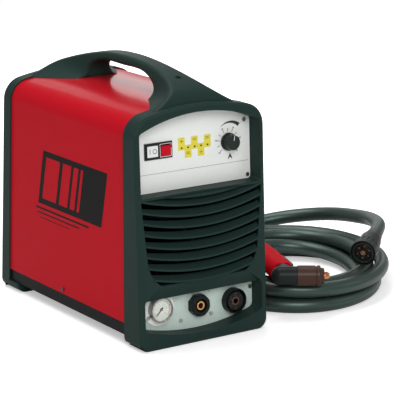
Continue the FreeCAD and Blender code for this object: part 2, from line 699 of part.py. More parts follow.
def make_base_tray():
    """Black tray with upright sides that the cover laps over."""
    half = cover_half() - SHEET - FIT / 2
    outer = box(-half, half, TRAY_FRONT_Y, TRAY_REAR_Y, TRAY_LOW, TRAY_SIDE_TOP)
    inner = box(-half + PANEL, half - PANEL, TRAY_FRONT_Y - 1, TRAY_REAR_Y + 1, TRAY_LOW + PANEL, TRAY_SIDE_TOP + 1)
    return outer.cut(inner).cut(side_holes(SCREW_RADIUS + FIT))


def make_cover_screws():
    """Pan head screws through the cover's lower edge into the tray."""
    screws = []
    for s, y in cover_screw_places():
        at = Vector(s * cover_half(), y, COVER_LOW + 8)
        head = rod(SCREW_HEAD, SCREW_HEAD_TALL, at, Vector(s, 0, 0))
        screws.append(head.fuse(rod(SCREW_RADIUS, SCREW_LENGTH, at, Vector(-s, 0, 0))))
    return screws


def rounded_section(corners, radius):
    """A closed wire round four corners, each corner an arc."""
    arcs = []
    for i in range(4):
        here = corners[i]
        u = (corners[i - 1] - here).normalize()
        w = (corners[(i + 1) % 4] - here).normalize()
        half_angle = u.getAngle(w) / 2
        reach = radius / math.tan(half_angle)
        start, end = here + u * reach, here + w * reach
        toward = (u + w).normalize()
        arcs.append((start, here + toward * (radius / math.sin(half_angle) - radius), end))
    edges = []
    for i in range(4):
        start, middle, end = arcs[i]
        edges.append(Part.Arc(start, middle, end).toShape())
        edges.append(Part.LineSegment(end, arcs[(i + 1) % 4][0]).toShape())
    return Part.Wire(edges)


def handle_section(station):
    y0, above0, half_out, y1, above1, half_in = station
    z0, z1 = HEIGHT + above0, HEIGHT + above1
    corners = [Vector(-half_out, y0, z0), Vector(half_out, y0, z0), Vector(half_in, y1, z1), Vector(-half_in, y1, z1)]
    return rounded_section(corners, GRIP_ROUND)


def make_handle():
    """Carrying arch: a loft of rounded sections, flared where it lands on the case."""
    grip = (HANDLE_MID_Y, GRIP_TOP, GRIP_HALF, HANDLE_MID_Y, GRIP_LOW, GRIP_HALF)
    stations = HANDLE_FRONT_LEG + (grip,) + HANDLE_REAR_LEG
    arch = Part.makeLoft([handle_section(s) for s in stations], True, False)
    out = BEZEL_WALL + FIT - HANDLE_SEAT
    case = [case_form(-HANDLE_SEAT, FRONT_FOOT_Y - 10, FRONT_BEZEL_REAR_Y + HANDLE_SEAT),
            case_form(out, FRONT_FOOT_Y, REAR_FOOT_Y),
            case_form(-HANDLE_SEAT, 0, REACH).common(behind_lean(REAR_BEZEL_FRONT_Y - HANDLE_SEAT, REAR_BEZEL_LEAN))]
    arch = arch.cut(case)
    arch = max(arch.Solids, key=lambda s: s.Volume)
    holes = []
    for at in handle_screw_places():
        holes.append(rod(HANDLE_SCREW_RADIUS + FIT, 40, at - UP * 40, UP))
        holes.append(rod(HANDLE_SCREW_HEAD + FIT, 80, at, UP))
    return arch.cut(holes)


def handle_screw_places():
    """Seats of the two screw heads, sunk in the legs of the handle."""
    return [Vector(0, HANDLE_MID_Y + side * HANDLE_SCREW_Y, HEIGHT + HANDLE_SCREW_UNDER) for side in (-1, 1)]


def make_handle_screws():
    """Screws down through the handle and the cover, each with its nut below the sheet."""
    screws = []
    below = HEIGHT - BEZEL_WALL - FIT - SHEET - 0.1
    for at in handle_screw_places():
        head = rod(HANDLE_SCREW_HEAD, 3.0, at, UP)
        shank = rod(HANDLE_SCREW_RADIUS, at.z - below + 5, at, -UP)
        nut = polygon_prism(6, HANDLE_NUT, 4, Vector(0, at.y, below - 4), UP)
        screws.append(head.fuse([shank, nut]))
    return screws


def polygon_prism(sides, across, length, at, along):
    """A prism with an even number of equal sides, across its flats."""
    radius = across / 2 / math.cos(math.pi / sides)
    turn = 360 / sides
    ring = [Vector(radius * math.cos(math.radians(turn * (i + 0.5))),
                   radius * math.sin(math.radians(turn * (i + 0.5))), 0) for i in range(sides)]
    prism = Part.Face(Part.makePolygon(ring + ring[:1])).extrude(Vector(0, 0, length))
    prism.Placement = Placement(at, Rotation(Vector(0, 0, 1), along))
    return prism


def screw(at, along, length=SCREW_LENGTH):
    """A pan head screw whose head sits at a point; the shank runs along the direction."""
    head = rod(SCREW_HEAD, SCREW_HEAD_TALL, at, -along)
    return head.fuse(rod(SCREW_RADIUS, length, at, along))


def make_control_plate():
    plate = control_prism(-PLATE_GAP, CONTROL_DEPTH - PANEL, CONTROL_DEPTH)
    return on_front(plate).cut(control_holes(CONTROL_DEPTH - PANEL, CONTROL_DEPTH))


def make_connection_plate():
    plate = line_prism(-PLATE_GAP, LINE_CEILING, LINE_DEPTH - PANEL, LINE_DEPTH)
    return on_front(plate).cut(line_holes(LINE_DEPTH - PANEL, LINE_DEPTH))


def make_panel_screws():
    """The small screws of the two front plates, the control board and the gauge."""
    screws = [screw(front_point(at, CONTROL_DEPTH - PANEL), INWARD) for at in PLATE_SCREWS]
    screws += [screw(front_point(at, LINE_DEPTH - PANEL), INWARD) for at in LINE_SCREWS]
    screws += [screw(front_point(at, BOARD_DEPTH + BOARD_THICK), -INWARD) for at in board_corners()]
    seat = LINE_DEPTH - PANEL - GAUGE_FLANGE_THICK
    screws += [screw(front_point(at, seat), INWARD) for at in gauge_screw_places()]
    return [on_front(s) for s in screws]


def switch_front():
    return CONTROL_DEPTH - PANEL - SWITCH_FRAME_THICK


def make_switch_housing():
    """Frame with a printed field on the left, and the pocket and pin of the rocker."""
    x, h = SWITCH_AT
    front = switch_front()
    w, t = SWITCH_FRAME
    frame = box(x - w / 2, x + w / 2, front, front + SWITCH_FRAME_THICK, h - t / 2, h + t / 2)
    frame = frame.makeChamfer(1.0, [e for e in frame.Edges if abs(e.CenterOfMass.y - front) < 0.01])
    w, t = SWITCH_BODY
    behind = front + SWITCH_FRAME_THICK
    body = box(x - w / 2, x + w / 2, behind, behind + SWITCH_BODY_DEEP, h - t / 2, h + t / 2)
    blades = [box(x + dx - 3.2, x + dx + 3.2, behind + SWITCH_BODY_DEEP, behind + SWITCH_BODY_DEEP + 8,
                  h + dh - 0.4, h + dh + 0.4) for dx in (-12, 12) for dh in (-6, 6)]
    side = ROCKER_SIZE[0] / 2 + ROCKER_GAP
    rise = ROCKER_SIZE[1] / 2 + 2 * ROCKER_GAP
    px = x + ROCKER_X
    pocket = box(px - side, px + side, front - 1, front + ROCKER_POCKET, h - rise, h + rise)
    pin = rod(ROCKER_PIN, 2 * side + 1, Vector(px - side - 0.5, front + ROCKER_PIVOT, h), Vector(1, 0, 0))
    return on_front(frame.fuse([body] + blades).cut(pocket).fuse(pin))


def rocker_pivot():
    return Vector(SWITCH_AT[0] + ROCKER_X, switch_front() + ROCKER_PIVOT, SWITCH_AT[1])


def make_switch_rocker():
    """Rocker with a shallow V front, tipped to its off position."""
    half = ROCKER_SIZE[1] / 2
    wide = ROCKER_SIZE[0]
    profile = [(-7.0, half - 0.2), (-5.3, 0), (-7.0, 0.2 - half), (-3.0, -half), (3.5, -5.0), (3.5, 5.0), (-3.0, half)]
    solid = polygon_face([(-wide / 2, d, h) for d, h in profile]).extrude(Vector(wide, 0, 0))
    solid = solid.cut(rod(ROCKER_PIN + RUN, wide + 2, Vector(-wide / 2 - 1, 0, 0), Vector(1, 0, 0)))
    return on_front(placed(solid, rocker_pivot(), Vector(1, 0, 0), ROCKER_TILT))


def make_status_leds():
    """Light pipes that stand on the control board and end just before the plate."""
    front = CONTROL_DEPTH - PANEL - 1.0
    pipes = [rod(LED_RADIUS, BOARD_DEPTH - front, front_point(led_place(i), front), INWARD) for i in range(LED_COUNT)]
    return [on_front(p) for p in pipes]


def make_control_board():
    board = box(BOARD_X[0], BOARD_X[1], BOARD_DEPTH, BOARD_DEPTH + BOARD_THICK, BOARD_H[0], BOARD_H[1])
    back = BOARD_DEPTH + BOARD_THICK
    low = BOARD_H[0] + CHIP_FROM
    chips = []
    for i in range(CHIPS):
        x = BOARD_X[0] + CHIP_FROM + CHIP_PITCH * i
        chips.append(box(x, x + CHIP[0], back - 0.1, back + CHIP[1], low, low + CHIP[2]))
    x, low = BOARD_X[0] + BOARD_PLUG_FROM[0], BOARD_H[0] + BOARD_PLUG_FROM[1]
    plug = box(x, x + BOARD_PLUG[0], back - 0.1, back + BOARD_PLUG[1], low, low + BOARD_PLUG[2])
    holes = [rod(SCREW_RADIUS + FIT, 20, front_point(at, BOARD_DEPTH - 5), INWARD) for at in board_corners()]
    return on_front(board.fuse(chips + [plug]).cut(holes))


def make_potentiometer():
    """Control under the knob: its body stands on the board, its bush comes through the plate."""
    back = CONTROL_DEPTH + BEZEL_WALL
    body = rod(POT_RADIUS, BOARD_DEPTH - back, front_point(KNOB_AT, back), INWARD)
    bush = rod(BUSH_RADIUS, BEZEL_WALL + PANEL, front_point(KNOB_AT, CONTROL_DEPTH - PANEL), INWARD)
    well = rod(KNOB_SHAFT_RADIUS + RUN, BEZEL_WALL + PANEL + POT_WELL,
               front_point(KNOB_AT, CONTROL_DEPTH - PANEL), INWARD)
    return on_front(body.fuse(bush).cut(well))


def knob_front():
    return CONTROL_DEPTH - PANEL - KNOB_GAP - KNOB_LENGTH


def make_knob_shaft():
    top = knob_front() + 4.0
    end = CONTROL_DEPTH + BEZEL_WALL + POT_WELL - 0.5
    return on_front(rod(KNOB_SHAFT_RADIUS, end - top, front_point(KNOB_AT, top), INWARD))


def make_knob():
    """Skirted knob with a tapered, fluted grip and a pointer groove."""
    at = front_point(KNOB_AT, knob_front())
    skirt = 3.5
    grip = Part.makeCone(KNOB_RADIUS - 2.6, KNOB_RADIUS - 1.2, KNOB_LENGTH - skirt, at, INWARD)
    base = rod(KNOB_RADIUS, skirt, at + INWARD * (KNOB_LENGTH - skirt), INWARD)
    flutes = []
    for i in range(KNOB_FLUTES):
        a = math.radians(i * 360 / KNOB_FLUTES)
        aside = Vector(math.cos(a), 0, math.sin(a)) * (KNOB_RADIUS - 0.8)
        flutes.append(rod(1.6, KNOB_LENGTH - skirt + 1, at + aside - INWARD, INWARD))
    groove = box(-0.8, 0.8, -1, 0.8, 3, KNOB_RADIUS + 1)
    knob = grip.fuse(base).cut(flutes)
    knob = knob.cut(placed(groove, at, INWARD, KNOB_REST))
    return on_front(knob.cut(rod(KNOB_SHAFT_RADIUS, 40, at + INWARD * 4, INWARD)))


def gauge_front():
    return LINE_DEPTH - PANEL - GAUGE_FRONT


def make_gauge_case():
    """Round gauge body with its well for the dial, and the threaded stem behind."""
    at = front_point(GAUGE_AT, gauge_front())
    body = rod(GAUGE_RADIUS, GAUGE_FRONT + GAUGE_BACK, at, INWARD)
    stem = rod(GAUGE_STEM, 11, at + INWARD * (GAUGE_FRONT + GAUGE_BACK - 1), INWARD)
    return on_front(body.fuse(stem).cut(rod(GAUGE_RADIUS - GAUGE_WALL, GAUGE_WELL, at, INWARD)))


def make_gauge_flange():
    """Clamping ring that holds the gauge to the connection plate."""
    at = front_point(GAUGE_AT, LINE_DEPTH - PANEL - GAUGE_FLANGE_THICK)
    ring = tube(GAUGE_FLANGE, GAUGE_RADIUS + 0.05, GAUGE_FLANGE_THICK, at, INWARD)
    holes = [rod(SCREW_RADIUS + FIT, 20, front_point(p, 0) + INWARD * (at.y - 5), INWARD)
             for p in gauge_screw_places()]
    return on_front(ring.cut(holes))


def make_gauge_dial():
    """Dial on the floor of the well, with the pin that carries the needle."""
    floor = front_point(GAUGE_AT, gauge_front() + GAUGE_WELL)
    dial = rod(GAUGE_RADIUS - GAUGE_WALL - 0.1, DIAL_THICK, floor, -INWARD)
    return on_front(dial.fuse(rod(NEEDLE_PIN, DIAL_THICK + 1.5, floor, -INWARD)))


def needle_place():
    """Foot of the needle's hub, just over the dial."""
    return front_point(GAUGE_AT, gauge_front() + GAUGE_WELL - DIAL_THICK - 0.35)


def make_gauge_needle():
    at = needle_place()
    hub = rod(2.2, 1.2, at, -INWARD)
    blade = polygon_face([(-4, 0, -0.9), (NEEDLE_LENGTH, 0, -0.3), (NEEDLE_LENGTH, 0, 0.3), (-4, 0, 0.9)])
    blade = placed(blade.extrude(Vector(0, -0.5, 0)), at - INWARD * 0.3, INWARD, -NEEDLE_REST)
    return on_front(hub.fuse(blade).cut(rod(NEEDLE_PIN + RUN, 5, at + INWARD, -INWARD)))


def make_gauge_lens():
    at = front_point(GAUGE_AT, gauge_front() + 0.3)
    return on_front(rod(GAUGE_RADIUS - GAUGE_WALL - 0.1, LENS_THICK, at, INWARD))


def socket_front(stand):
    return LINE_DEPTH - PANEL - stand


def make_earth_socket_body():
    """Eight sided insulator with a round well, and its neck through the plate."""
    at = front_point(EARTH_AT, socket_front(EARTH_FRONT))
    head = polygon_prism(8, 2 * EARTH_RADIUS, EARTH_FRONT, at, INWARD)
    head = head.common(Part.makeCone(EARTH_RADIUS - 1, EARTH_RADIUS + 6, 7, at, INWARD).fuse(
        rod(EARTH_RADIUS + 6, EARTH_FRONT, at + INWARD * 7, INWARD)))
    neck = rod(EARTH_NECK, EARTH_BACK, at + INWARD * EARTH_FRONT, INWARD)
    well = rod(EARTH_WELL, EARTH_WELL_DEEP, at, INWARD)
    return on_front(head.fuse(neck).cut([well, rod(EARTH_BRASS + 0.05, 80, at, INWARD)]))


def make_earth_socket_insert():
    """Brass sleeve that takes the round plug of the earth lead."""
    at = front_point(EARTH_AT, socket_front(EARTH_FRONT) + 2.0)
    length = EARTH_FRONT + EARTH_BACK + 4.0
    sleeve = rod(EARTH_BRASS, length, at, INWARD)
    lug = polygon_prism(6, 2 * EARTH_BRASS + 4, 4, at + INWARD * length, INWARD)
    return on_front(sleeve.fuse(lug).cut(rod(EARTH_BORE, EARTH_BORE_DEEP, at, INWARD)))


def small_contact_places():
    """Middles of the ring of small contacts, from the middle of the connector (across, up)."""
    turn = 360 / SOCKET_PINS
    return [(SOCKET_PIN_RING * math.cos(math.radians(30 + i * turn)),
             SOCKET_PIN_RING * math.sin(math.radians(30 + i * turn))) for i in range(SOCKET_PINS)]


def socket_nose_front():
    return front_point(TORCH_SOCKET_AT, socket_front(TORCH_SOCKET_FRONT) + SOCKET_NOSE_BACK)


def make_torch_socket_body():
    """Round insulator of the central connector: outer ring, nose with the holes of the contacts, neck."""
    at = front_point(TORCH_SOCKET_AT, socket_front(TORCH_SOCKET_FRONT))
    nose = socket_nose_front()
    head = rod(TORCH_SOCKET_RADIUS, TORCH_SOCKET_FRONT, at, INWARD)
    mouth = rod(TORCH_SOCKET_RADIUS - SOCKET_RING_WALL, SOCKET_NOSE_BACK, at, INWARD)
    groove = tube(TORCH_SOCKET_RADIUS - SOCKET_RING_WALL, SOCKET_NOSE, SOCKET_WELL_DEEP, at, INWARD)
    neck = rod(TORCH_SOCKET_NECK, TORCH_SOCKET_BACK, at + INWARD * TORCH_SOCKET_FRONT, INWARD)
    holes = [rod(SOCKET_SLEEVE + 0.05, PLUG_PIN_LENGTH, nose, INWARD)]
    for x, h in small_contact_places():
        holes.append(rod(SOCKET_PIN + SOCKET_SLEEVE_WALL + 0.05, 8.5, nose + Vector(x, 0, h), INWARD))
    return on_front(head.fuse(neck).cut([mouth, groove] + holes))


def make_torch_socket_contacts():
    """Sleeves of the connector, level with the nose: one for the current and gas, six small ones."""
    nose = socket_nose_front()
    contacts = [tube(SOCKET_SLEEVE, PLUG_PIN + 0.1, PLUG_PIN_LENGTH, nose, INWARD)]
    for x, h in small_contact_places():
        contacts.append(tube(SOCKET_PIN + SOCKET_SLEEVE_WALL, SOCKET_PIN + 0.1, 8.5, nose + Vector(x, 0, h), INWARD))
    return [on_front(c) for c in contacts]


def make_socket_nuts():
    """Ring nuts behind the plate that hold the two sockets."""
    back = LINE_DEPTH + BEZEL_WALL
    nuts = []
    for at, neck in ((EARTH_AT, EARTH_NECK), (TORCH_SOCKET_AT, TORCH_SOCKET_NECK)):
        nut = polygon_prism(6, 2 * neck + 8, SOCKET_NUT, front_point(at, back), INWARD)
        nuts.append(on_front(nut.cut(rod(neck + 0.05, SOCKET_NUT, front_point(at, back), INWARD))))
    return nuts


def rear_point(at, out):
    """A point over the rear face, in that face's own coordinates."""
    return Vector(at[0], out, at[1])


def fan_corners(out):
    return [Vector(FAN_AT[0] + i * FAN_SCREW, out, FAN_AT[1] + j * FAN_SCREW) for i in (-1, 1) for j in (-1, 1)]


def panel_front():
    """Inner face of the rear panel, over the rear face."""
    return -REAR_PANEL_DEPTH - PANEL


def make_rear_panel():
    sheet = on_rear(box(-REACH, REACH, panel_front(), -REAR_PANEL_DEPTH, -REACH, REACH))
    panel = sheet.common(case_form(BEZEL_WALL + FIT, 100, 300, BEZEL_WALL + FIT))
    holes = [(FAN_AT, FAN_BORE), (GLAND_AT, GLAND_NECK + FIT), ((REG_X, INLET_H), INLET_RADIUS + FIT),
             ((REG_X, REG_KNOB_H), REG_STEM + FIT)]
    holes += [((p.x, p.z), SCREW_RADIUS + FIT) for p in fan_corners(0)]
    holes += [(at, SCREW_RADIUS + FIT) for at in PANEL_SCREWS]
    return panel.cut([on_rear(rod(r, 20, rear_point(at, 0), -OUTWARD)) for at, r in holes])


def make_fan_frame():
    """Square fan housing with three struts that carry the hub and its axle."""
    back = panel_front()
    half = FAN_SIZE / 2
    x, h = FAN_AT
    frame = box(x - half, x + half, back - FAN_DEPTH, back, h - half, h + half)
    frame = frame.makeFillet(7, [e for e in frame.Edges if e.BoundBox.YLength > FAN_DEPTH - 1])
    frame = frame.cut(rod(FAN_BORE, 60, rear_point(FAN_AT, back + 1), -OUTWARD))
    inner = rear_point(FAN_AT, back - FAN_DEPTH)
    hub = rod(FAN_HUB, FAN_STATOR, inner, OUTWARD)
    axle = rod(FAN_AXLE, FAN_DEPTH - 7, inner, OUTWARD)
    struts = [placed(box(FAN_HUB - 2, FAN_BORE + 1, 0, FAN_STATOR, -2, 2), inner, OUTWARD, a) for a in (30, 150, 270)]
    frame = frame.fuse([hub, axle] + struts)
    return on_rear(frame.cut([rod(SCREW_RADIUS + FIT, 80, p, -OUTWARD) for p in fan_corners(0)]))


def make_fan_rotor():
    """Hub with turned blades, running on the axle inside the housing."""
    at = rear_point(FAN_AT, panel_front() - FAN_DEPTH + FAN_STATOR + 1.0)
    length = FAN_DEPTH - FAN_STATOR - 4.0
    reach = FAN_BORE - FAN_TIP_GAP
    blades = []
    for i in range(FAN_BLADES):
        blade = box(FAN_HUB - 1.5, reach + 4, -FAN_BLADE_THICK / 2, FAN_BLADE_THICK / 2, -FAN_BLADE / 2, FAN_BLADE / 2)
        blade = placed(blade, Vector(0, length / 2, 0), Vector(1, 0, 0), FAN_PITCH)
        blades.append(placed(blade, at, OUTWARD, i * 360 / FAN_BLADES))
    envelope = rod(reach, length, at, OUTWARD)
    rotor = rod(FAN_HUB, length, at, OUTWARD).fuse([b.common(envelope) for b in blades])
    return on_rear(rotor.cut(rod(FAN_AXLE + RUN, length - 2.5 + 1, at - OUTWARD, OUTWARD)))


def make_fan_guard():
    """Stamped guard of rings and cross bars on the outside of the rear panel."""
    at = rear_point(FAN_AT, -REAR_PANEL_DEPTH)
    rings = [tube(r + GUARD_BAR, r - GUARD_BAR, GUARD_THICK, at, OUTWARD) for r in GUARD_RINGS]
    reach = FAN_SCREW * math.sqrt(2) + 4
    arms = [placed(box(-reach, reach, 0, GUARD_THICK, -2.5, 2.5), at, OUTWARD, a) for a in (45, -45)]
    eyes = [rod(5, GUARD_THICK, p, OUTWARD) for p in fan_corners(-REAR_PANEL_DEPTH)]
    guard = rings[0].fuse(rings[1:] + arms + eyes)
    holes = [rod(SCREW_RADIUS + FIT, 20, p, -OUTWARD) for p in fan_corners(5)]
    return on_rear(guard.cut(holes))


def make_rear_screws():
    """Screws of the fan and its guard, and of the rear panel's lip."""
    seat = -REAR_PANEL_DEPTH + GUARD_THICK
    screws = [screw(p, -OUTWARD, 14) for p in fan_corners(seat)]
    screws += [screw(rear_point(at, -LIP_SEAT), -OUTWARD, 12) for at in PANEL_SCREWS]
    return [on_rear(s) for s in screws]


def make_cable_gland():
    """Gland body, cap nut and lock nut, with the clear bore for a lead."""
    face = rear_point(GLAND_AT, -REAR_PANEL_DEPTH)
    collar = polygon_prism(6, 2 * GLAND_RADIUS, 7, face, OUTWARD)
    cap = rod(GLAND_RADIUS - 1.5, 9, face + OUTWARD * 7, OUTWARD)
    dome = Part.makeCone(GLAND_RADIUS - 1.5, GLAND_BORE + 2.5, 6, face + OUTWARD * 16, OUTWARD)
    neck = rod(GLAND_NECK, 13, face, -OUTWARD)
    nut = polygon_prism(6, 2 * GLAND_RADIUS - 2, 5, face - OUTWARD * (PANEL + 5), OUTWARD)
    gland = collar.fuse([cap, dome, neck, nut])
    return on_rear(gland.cut(rod(GLAND_BORE, 60, face - OUTWARD * 20, OUTWARD)))


def make_air_inlet_fitting():
    """Hose nipple that screws through the panel into the regulator block."""
    face = rear_point((REG_X, INLET_H), -REAR_PANEL_DEPTH)
    parts = [rod(INLET_RADIUS, PANEL + INLET_THREAD, face, -OUTWARD),
             rod(INLET_BARB - 1.2, INLET_LENGTH, face + OUTWARD * INLET_HEX_TALL, OUTWARD)]
    for i in range(3):
        foot = face + OUTWARD * (INLET_HEX_TALL + 3 + 5.5 * i)
        parts.append(Part.makeCone(INLET_BARB, INLET_BARB - 1.2, 5, foot, OUTWARD))
    fitting = polygon_prism(6, INLET_HEX, INLET_HEX_TALL, face, OUTWARD).fuse(parts)
    return on_rear(fitting.cut(rod(INLET_BORE, 80, face - OUTWARD * 40, OUTWARD)))


def make_air_regulator():
    """Block behind the panel with the neck of the knob and the seat of the bowl."""
    back = panel_front()
    block = box(REG_X - REG_WIDE / 2, REG_X + REG_WIDE / 2, back - REG_DEEP, back, REG_H[0], REG_H[1])
    block = block.makeFillet(3, [e for e in block.Edges if e.BoundBox.ZLength > REG_H[1] - REG_H[0] - 1])
    neck = rod(REG_STEM, PANEL + REG_STEM_OUT, rear_point((REG_X, REG_KNOB_H), back), OUTWARD)
    seat = rod(BOWL_RADIUS, BOWL_SEAT, Vector(REG_X, back - REG_DEEP / 2, REG_H[0] - BOWL_SEAT), UP)
    port = rod(INLET_RADIUS + 0.1, INLET_THREAD + 1, rear_point((REG_X, INLET_H), back), -OUTWARD)
    return on_rear(block.fuse([neck, seat]).cut(port))


def make_filter_bowl():
    """Water trap under the regulator, rounded at its foot, with a drain."""
    at = Vector(REG_X, panel_front() - REG_DEEP / 2, REG_H[0] - BOWL_SEAT - BOWL_LENGTH)
    bowl = rod(BOWL_RADIUS - 1, BOWL_LENGTH, at, UP)
    bowl = bowl.makeChamfer(5, [e for e in bowl.Edges if abs(e.CenterOfMass.z - at.z) < 0.1])
    drain = rod(3, 7, at - UP * 6, UP)
    inside = rod(BOWL_RADIUS - 1 - BOWL_WALL, BOWL_LENGTH - 8, at + UP * 8, UP)
    return on_rear(bowl.fuse(drain).cut(inside))


def make_regulator_knob():
    """Grooved knob that turns on the regulator's neck."""
    at = rear_point((REG_X, REG_KNOB_H), -REAR_PANEL_DEPTH + 0.6)
    knob = rod(REG_KNOB_RADIUS, REG_KNOB_LENGTH, at, OUTWARD)
    grooves = []
    for i in range(REG_KNOB_GROOVES):
        a = math.radians(i * 360 / REG_KNOB_GROOVES)
        aside = Vector(math.cos(a), 0, math.sin(a)) * (REG_KNOB_RADIUS + 1)
        grooves.append(rod(2.2, REG_KNOB_LENGTH - 1, at + aside - OUTWARD * 4, OUTWARD))
    return on_rear(knob.cut(grooves + [rod(REG_STEM + RUN, REG_STEM_OUT, at, OUTWARD)]))


def valve_front():
    """Inner end of the valve block, over the rear face."""
    return panel_front() - REG_DEEP - VALVE[1]


def make_solenoid_valve():
    """Valve block bolted to the regulator, with its coil on top."""
    w, d, t = VALVE
    y0 = valve_front()
    block = box(REG_X - w / 2, REG_X + w / 2, y0, y0 + d, VALVE_H, VALVE_H + t)
    stem = rod(6, 8, Vector(REG_X, y0 + d / 2, VALVE_H + t - 1), UP)
    coil = box(REG_X - w / 2 - 1, REG_X + w / 2 + 1, y0, y0 + d - 1, VALVE_H + t + 5, VALVE_H + t + 5 + VALVE_COIL)
    coil = coil.makeFillet(4, [e for e in coil.Edges if e.BoundBox.ZLength > VALVE_COIL - 1])
    return on_rear(block.fuse([stem, coil]))


def make_air_pipe():
    """Pipe from the valve to the back of the torch socket."""
    start = on_rear_point(Vector(REG_X, valve_front(), VALVE_H + VALVE[2] / 2))
    away = on_rear_point(Vector(REG_X, valve_front() - 70, VALVE_H + VALVE[2] / 2))
    end = on_front_point(front_point(TORCH_SOCKET_AT, LINE_DEPTH - PANEL + TORCH_SOCKET_BACK))
    before = on_front_point(front_point(TORCH_SOCKET_AT, LINE_DEPTH - PANEL + TORCH_SOCKET_BACK + 45))
    over = Vector(end.x, -60, away.z)
    wire, length, radii = bent_path([start, away, over, before, end])
    return swept(wire, PIPE_RADIUS)


def on_front_point(point):
    return Placement(Vector(0, FRONT_FOOT_Y, 0), Rotation(Vector(1, 0, 0), -FRONT_LEAN)).multVec(point)


def on_rear_point(point):
    return Placement(Vector(0, REAR_FOOT_Y, 0), Rotation(Vector(1, 0, 0), REAR_LEAN)).multVec(point)


def tray_floor():
    return TRAY_LOW + PANEL


def make_heatsink():
    """Finned block standing on the tray, fins down, so the fan blows along them."""
    floor = tray_floor()
    base = box(SINK_X[0], SINK_X[1], SINK_Y[0], SINK_Y[1], floor + SINK_TALL - SINK_BASE, floor + SINK_TALL)
    pitch = (SINK_X[1] - SINK_X[0] - SINK_FIN) / (SINK_FINS - 1)
    fins = [box(SINK_X[0] + i * pitch, SINK_X[0] + i * pitch + SINK_FIN, SINK_Y[0], SINK_Y[1],
                floor, floor + SINK_TALL - SINK_BASE) for i in range(SINK_FINS)]
    return base.fuse(fins).removeSplitter()


def module_place(i):
    """Middle of a power module on the heatsink."""
    share = (SINK_Y[1] - SINK_Y[0]) / MODULES
    return ((SINK_X[0] + SINK_X[1]) / 2, SINK_Y[0] + share * (i + 0.5))


def make_power_modules():
    z = tray_floor() + SINK_TALL
    w, d, t = MODULE
    blocks = []
    for i in range(MODULES):
        x, y = module_place(i)
        blocks.append(box(x - w / 2, x + w / 2, y - d / 2, y + d / 2, z, z + t))
    return blocks


def make_power_board():
    z = tray_floor() + SINK_TALL + MODULE[2]
    return box(SINK_X[0] + BOARD_SHORT, SINK_X[1] - BOARD_SHORT, SINK_Y[0] + BOARD_SHORT, SINK_Y[1] - BOARD_SHORT,
               z, z + BOARD_THICK)


def make_capacitors():
    z = tray_floor() + SINK_TALL + MODULE[2] + BOARD_THICK
    cans = []
    for i in range(MODULES):
        x, y = module_place(i)
        cans.append(rod(CAP_RADIUS, CAP_HEIGHT, Vector(x, y, z), UP))
    return cans


def core_windows(trim):
    """Sizes of the two windows of the core beside the middle leg."""
    x, y = CORE_AT
    z = tray_floor() + CORE_LEG
    top = tray_floor() + CORE_SIZE[2] - CORE_LEG
    return [(x + s * (CORE_SIZE[0] / 2 - CORE_LEG - WINDOW / 2) - WINDOW / 2 + trim,
             x + s * (CORE_SIZE[0] / 2 - CORE_LEG - WINDOW / 2) + WINDOW / 2 - trim, z + trim, top - trim)
            for s in (-1, 1)]


def make_transformer_core():
    x, y = CORE_AT
    w, d, t = CORE_SIZE
    core = box(x - w / 2, x + w / 2, y - d / 2, y + d / 2, tray_floor(), tray_floor() + t)
    return core.cut([box(x0, x1, y - d, y + d, z0, z1) for x0, x1, z0, z1 in core_windows(0)])


def make_transformer_winding():
    """Winding round the middle leg, rounded where it leaves the core."""
    x, y = CORE_AT
    d = CORE_SIZE[1]
    left, right = core_windows(WINDING_GAP)
    outer = box(left[0], right[1], y - d / 2 - WINDING_OUT, y + d / 2 + WINDING_OUT, left[2], left[3])
    outer = outer.makeFillet(8, [e for e in outer.Edges if e.BoundBox.ZLength > left[3] - left[2] - 1])
    return outer.cut(box(left[1], right[0], y - d / 2 - WINDING_GAP, y + d / 2 + WINDING_GAP, 0, REACH))


def make_output_choke():
    ring = tube(CHOKE_RADIUS, CHOKE_BORE, CHOKE_TALL, Vector(CHOKE_AT[0], CHOKE_AT[1], tray_floor()), UP)
    return ring.makeChamfer(4, [e for e in ring.Edges if e.CenterOfMass.z > tray_floor() + CHOKE_TALL - 0.1])


def make_hf_unit():
    """Arc starting unit: a cast box with two spark gap posts."""
    z = tray_floor()
    x0, x1, y0, y1 = HF_BOX
    block = box(x0, x1, y0, y1, z, z + HF_TALL)
    posts = [rod(4, 16, Vector((x0 + x1) / 2 + s * 10, (y0 + y1) / 2, z + HF_TALL - 1), UP) for s in (-1, 1)]
    return block.fuse(posts)


def bent_path(points):
    """Straight runs joined by tangent arcs; returns the wire, its length and the arcs' radii."""
    points = [Vector(*p) for p in points]
    edges, radii = [], []
    last = points[0]
    for before, here, after in zip(points, points[1:], points[2:]):
        u = before - here
        w = after - here
        share = BEND_SHARE * min(u.Length, w.Length)
        u.normalize()
        w.normalize()
        half_turn = (math.pi - u.getAngle(w)) / 2
        radius = share / math.tan(half_turn)
        start, end = here + u * share, here + w * share
        toward = (u + w).normalize()
        edges.append(Part.LineSegment(last, start).toShape())
        nearest = here + toward * (radius / math.cos(half_turn) - radius)
        edges.append(Part.Arc(start, nearest, end).toShape())
        radii.append(radius)
        last = end
    edges.append(Part.LineSegment(last, points[-1]).toShape())
    wire = Part.Wire(edges)
    return wire, wire.Length, radii


def swept(wire, radius):
    """A round tube along a wire."""
    start = wire.Edges[0]
    at = start.valueAt(start.FirstParameter)
    along = start.tangentAt(start.FirstParameter)
    return wire.makePipeShell([Part.Wire(Part.makeCircle(radius, at, along))], True, False)


def coil_place():
    return Placement(Vector(COIL_AT[0], COIL_AT[1], 0), Rotation(UP, COIL_TURN))


def coil_to_case(point):
    return coil_place().multVec(Vector(*point))


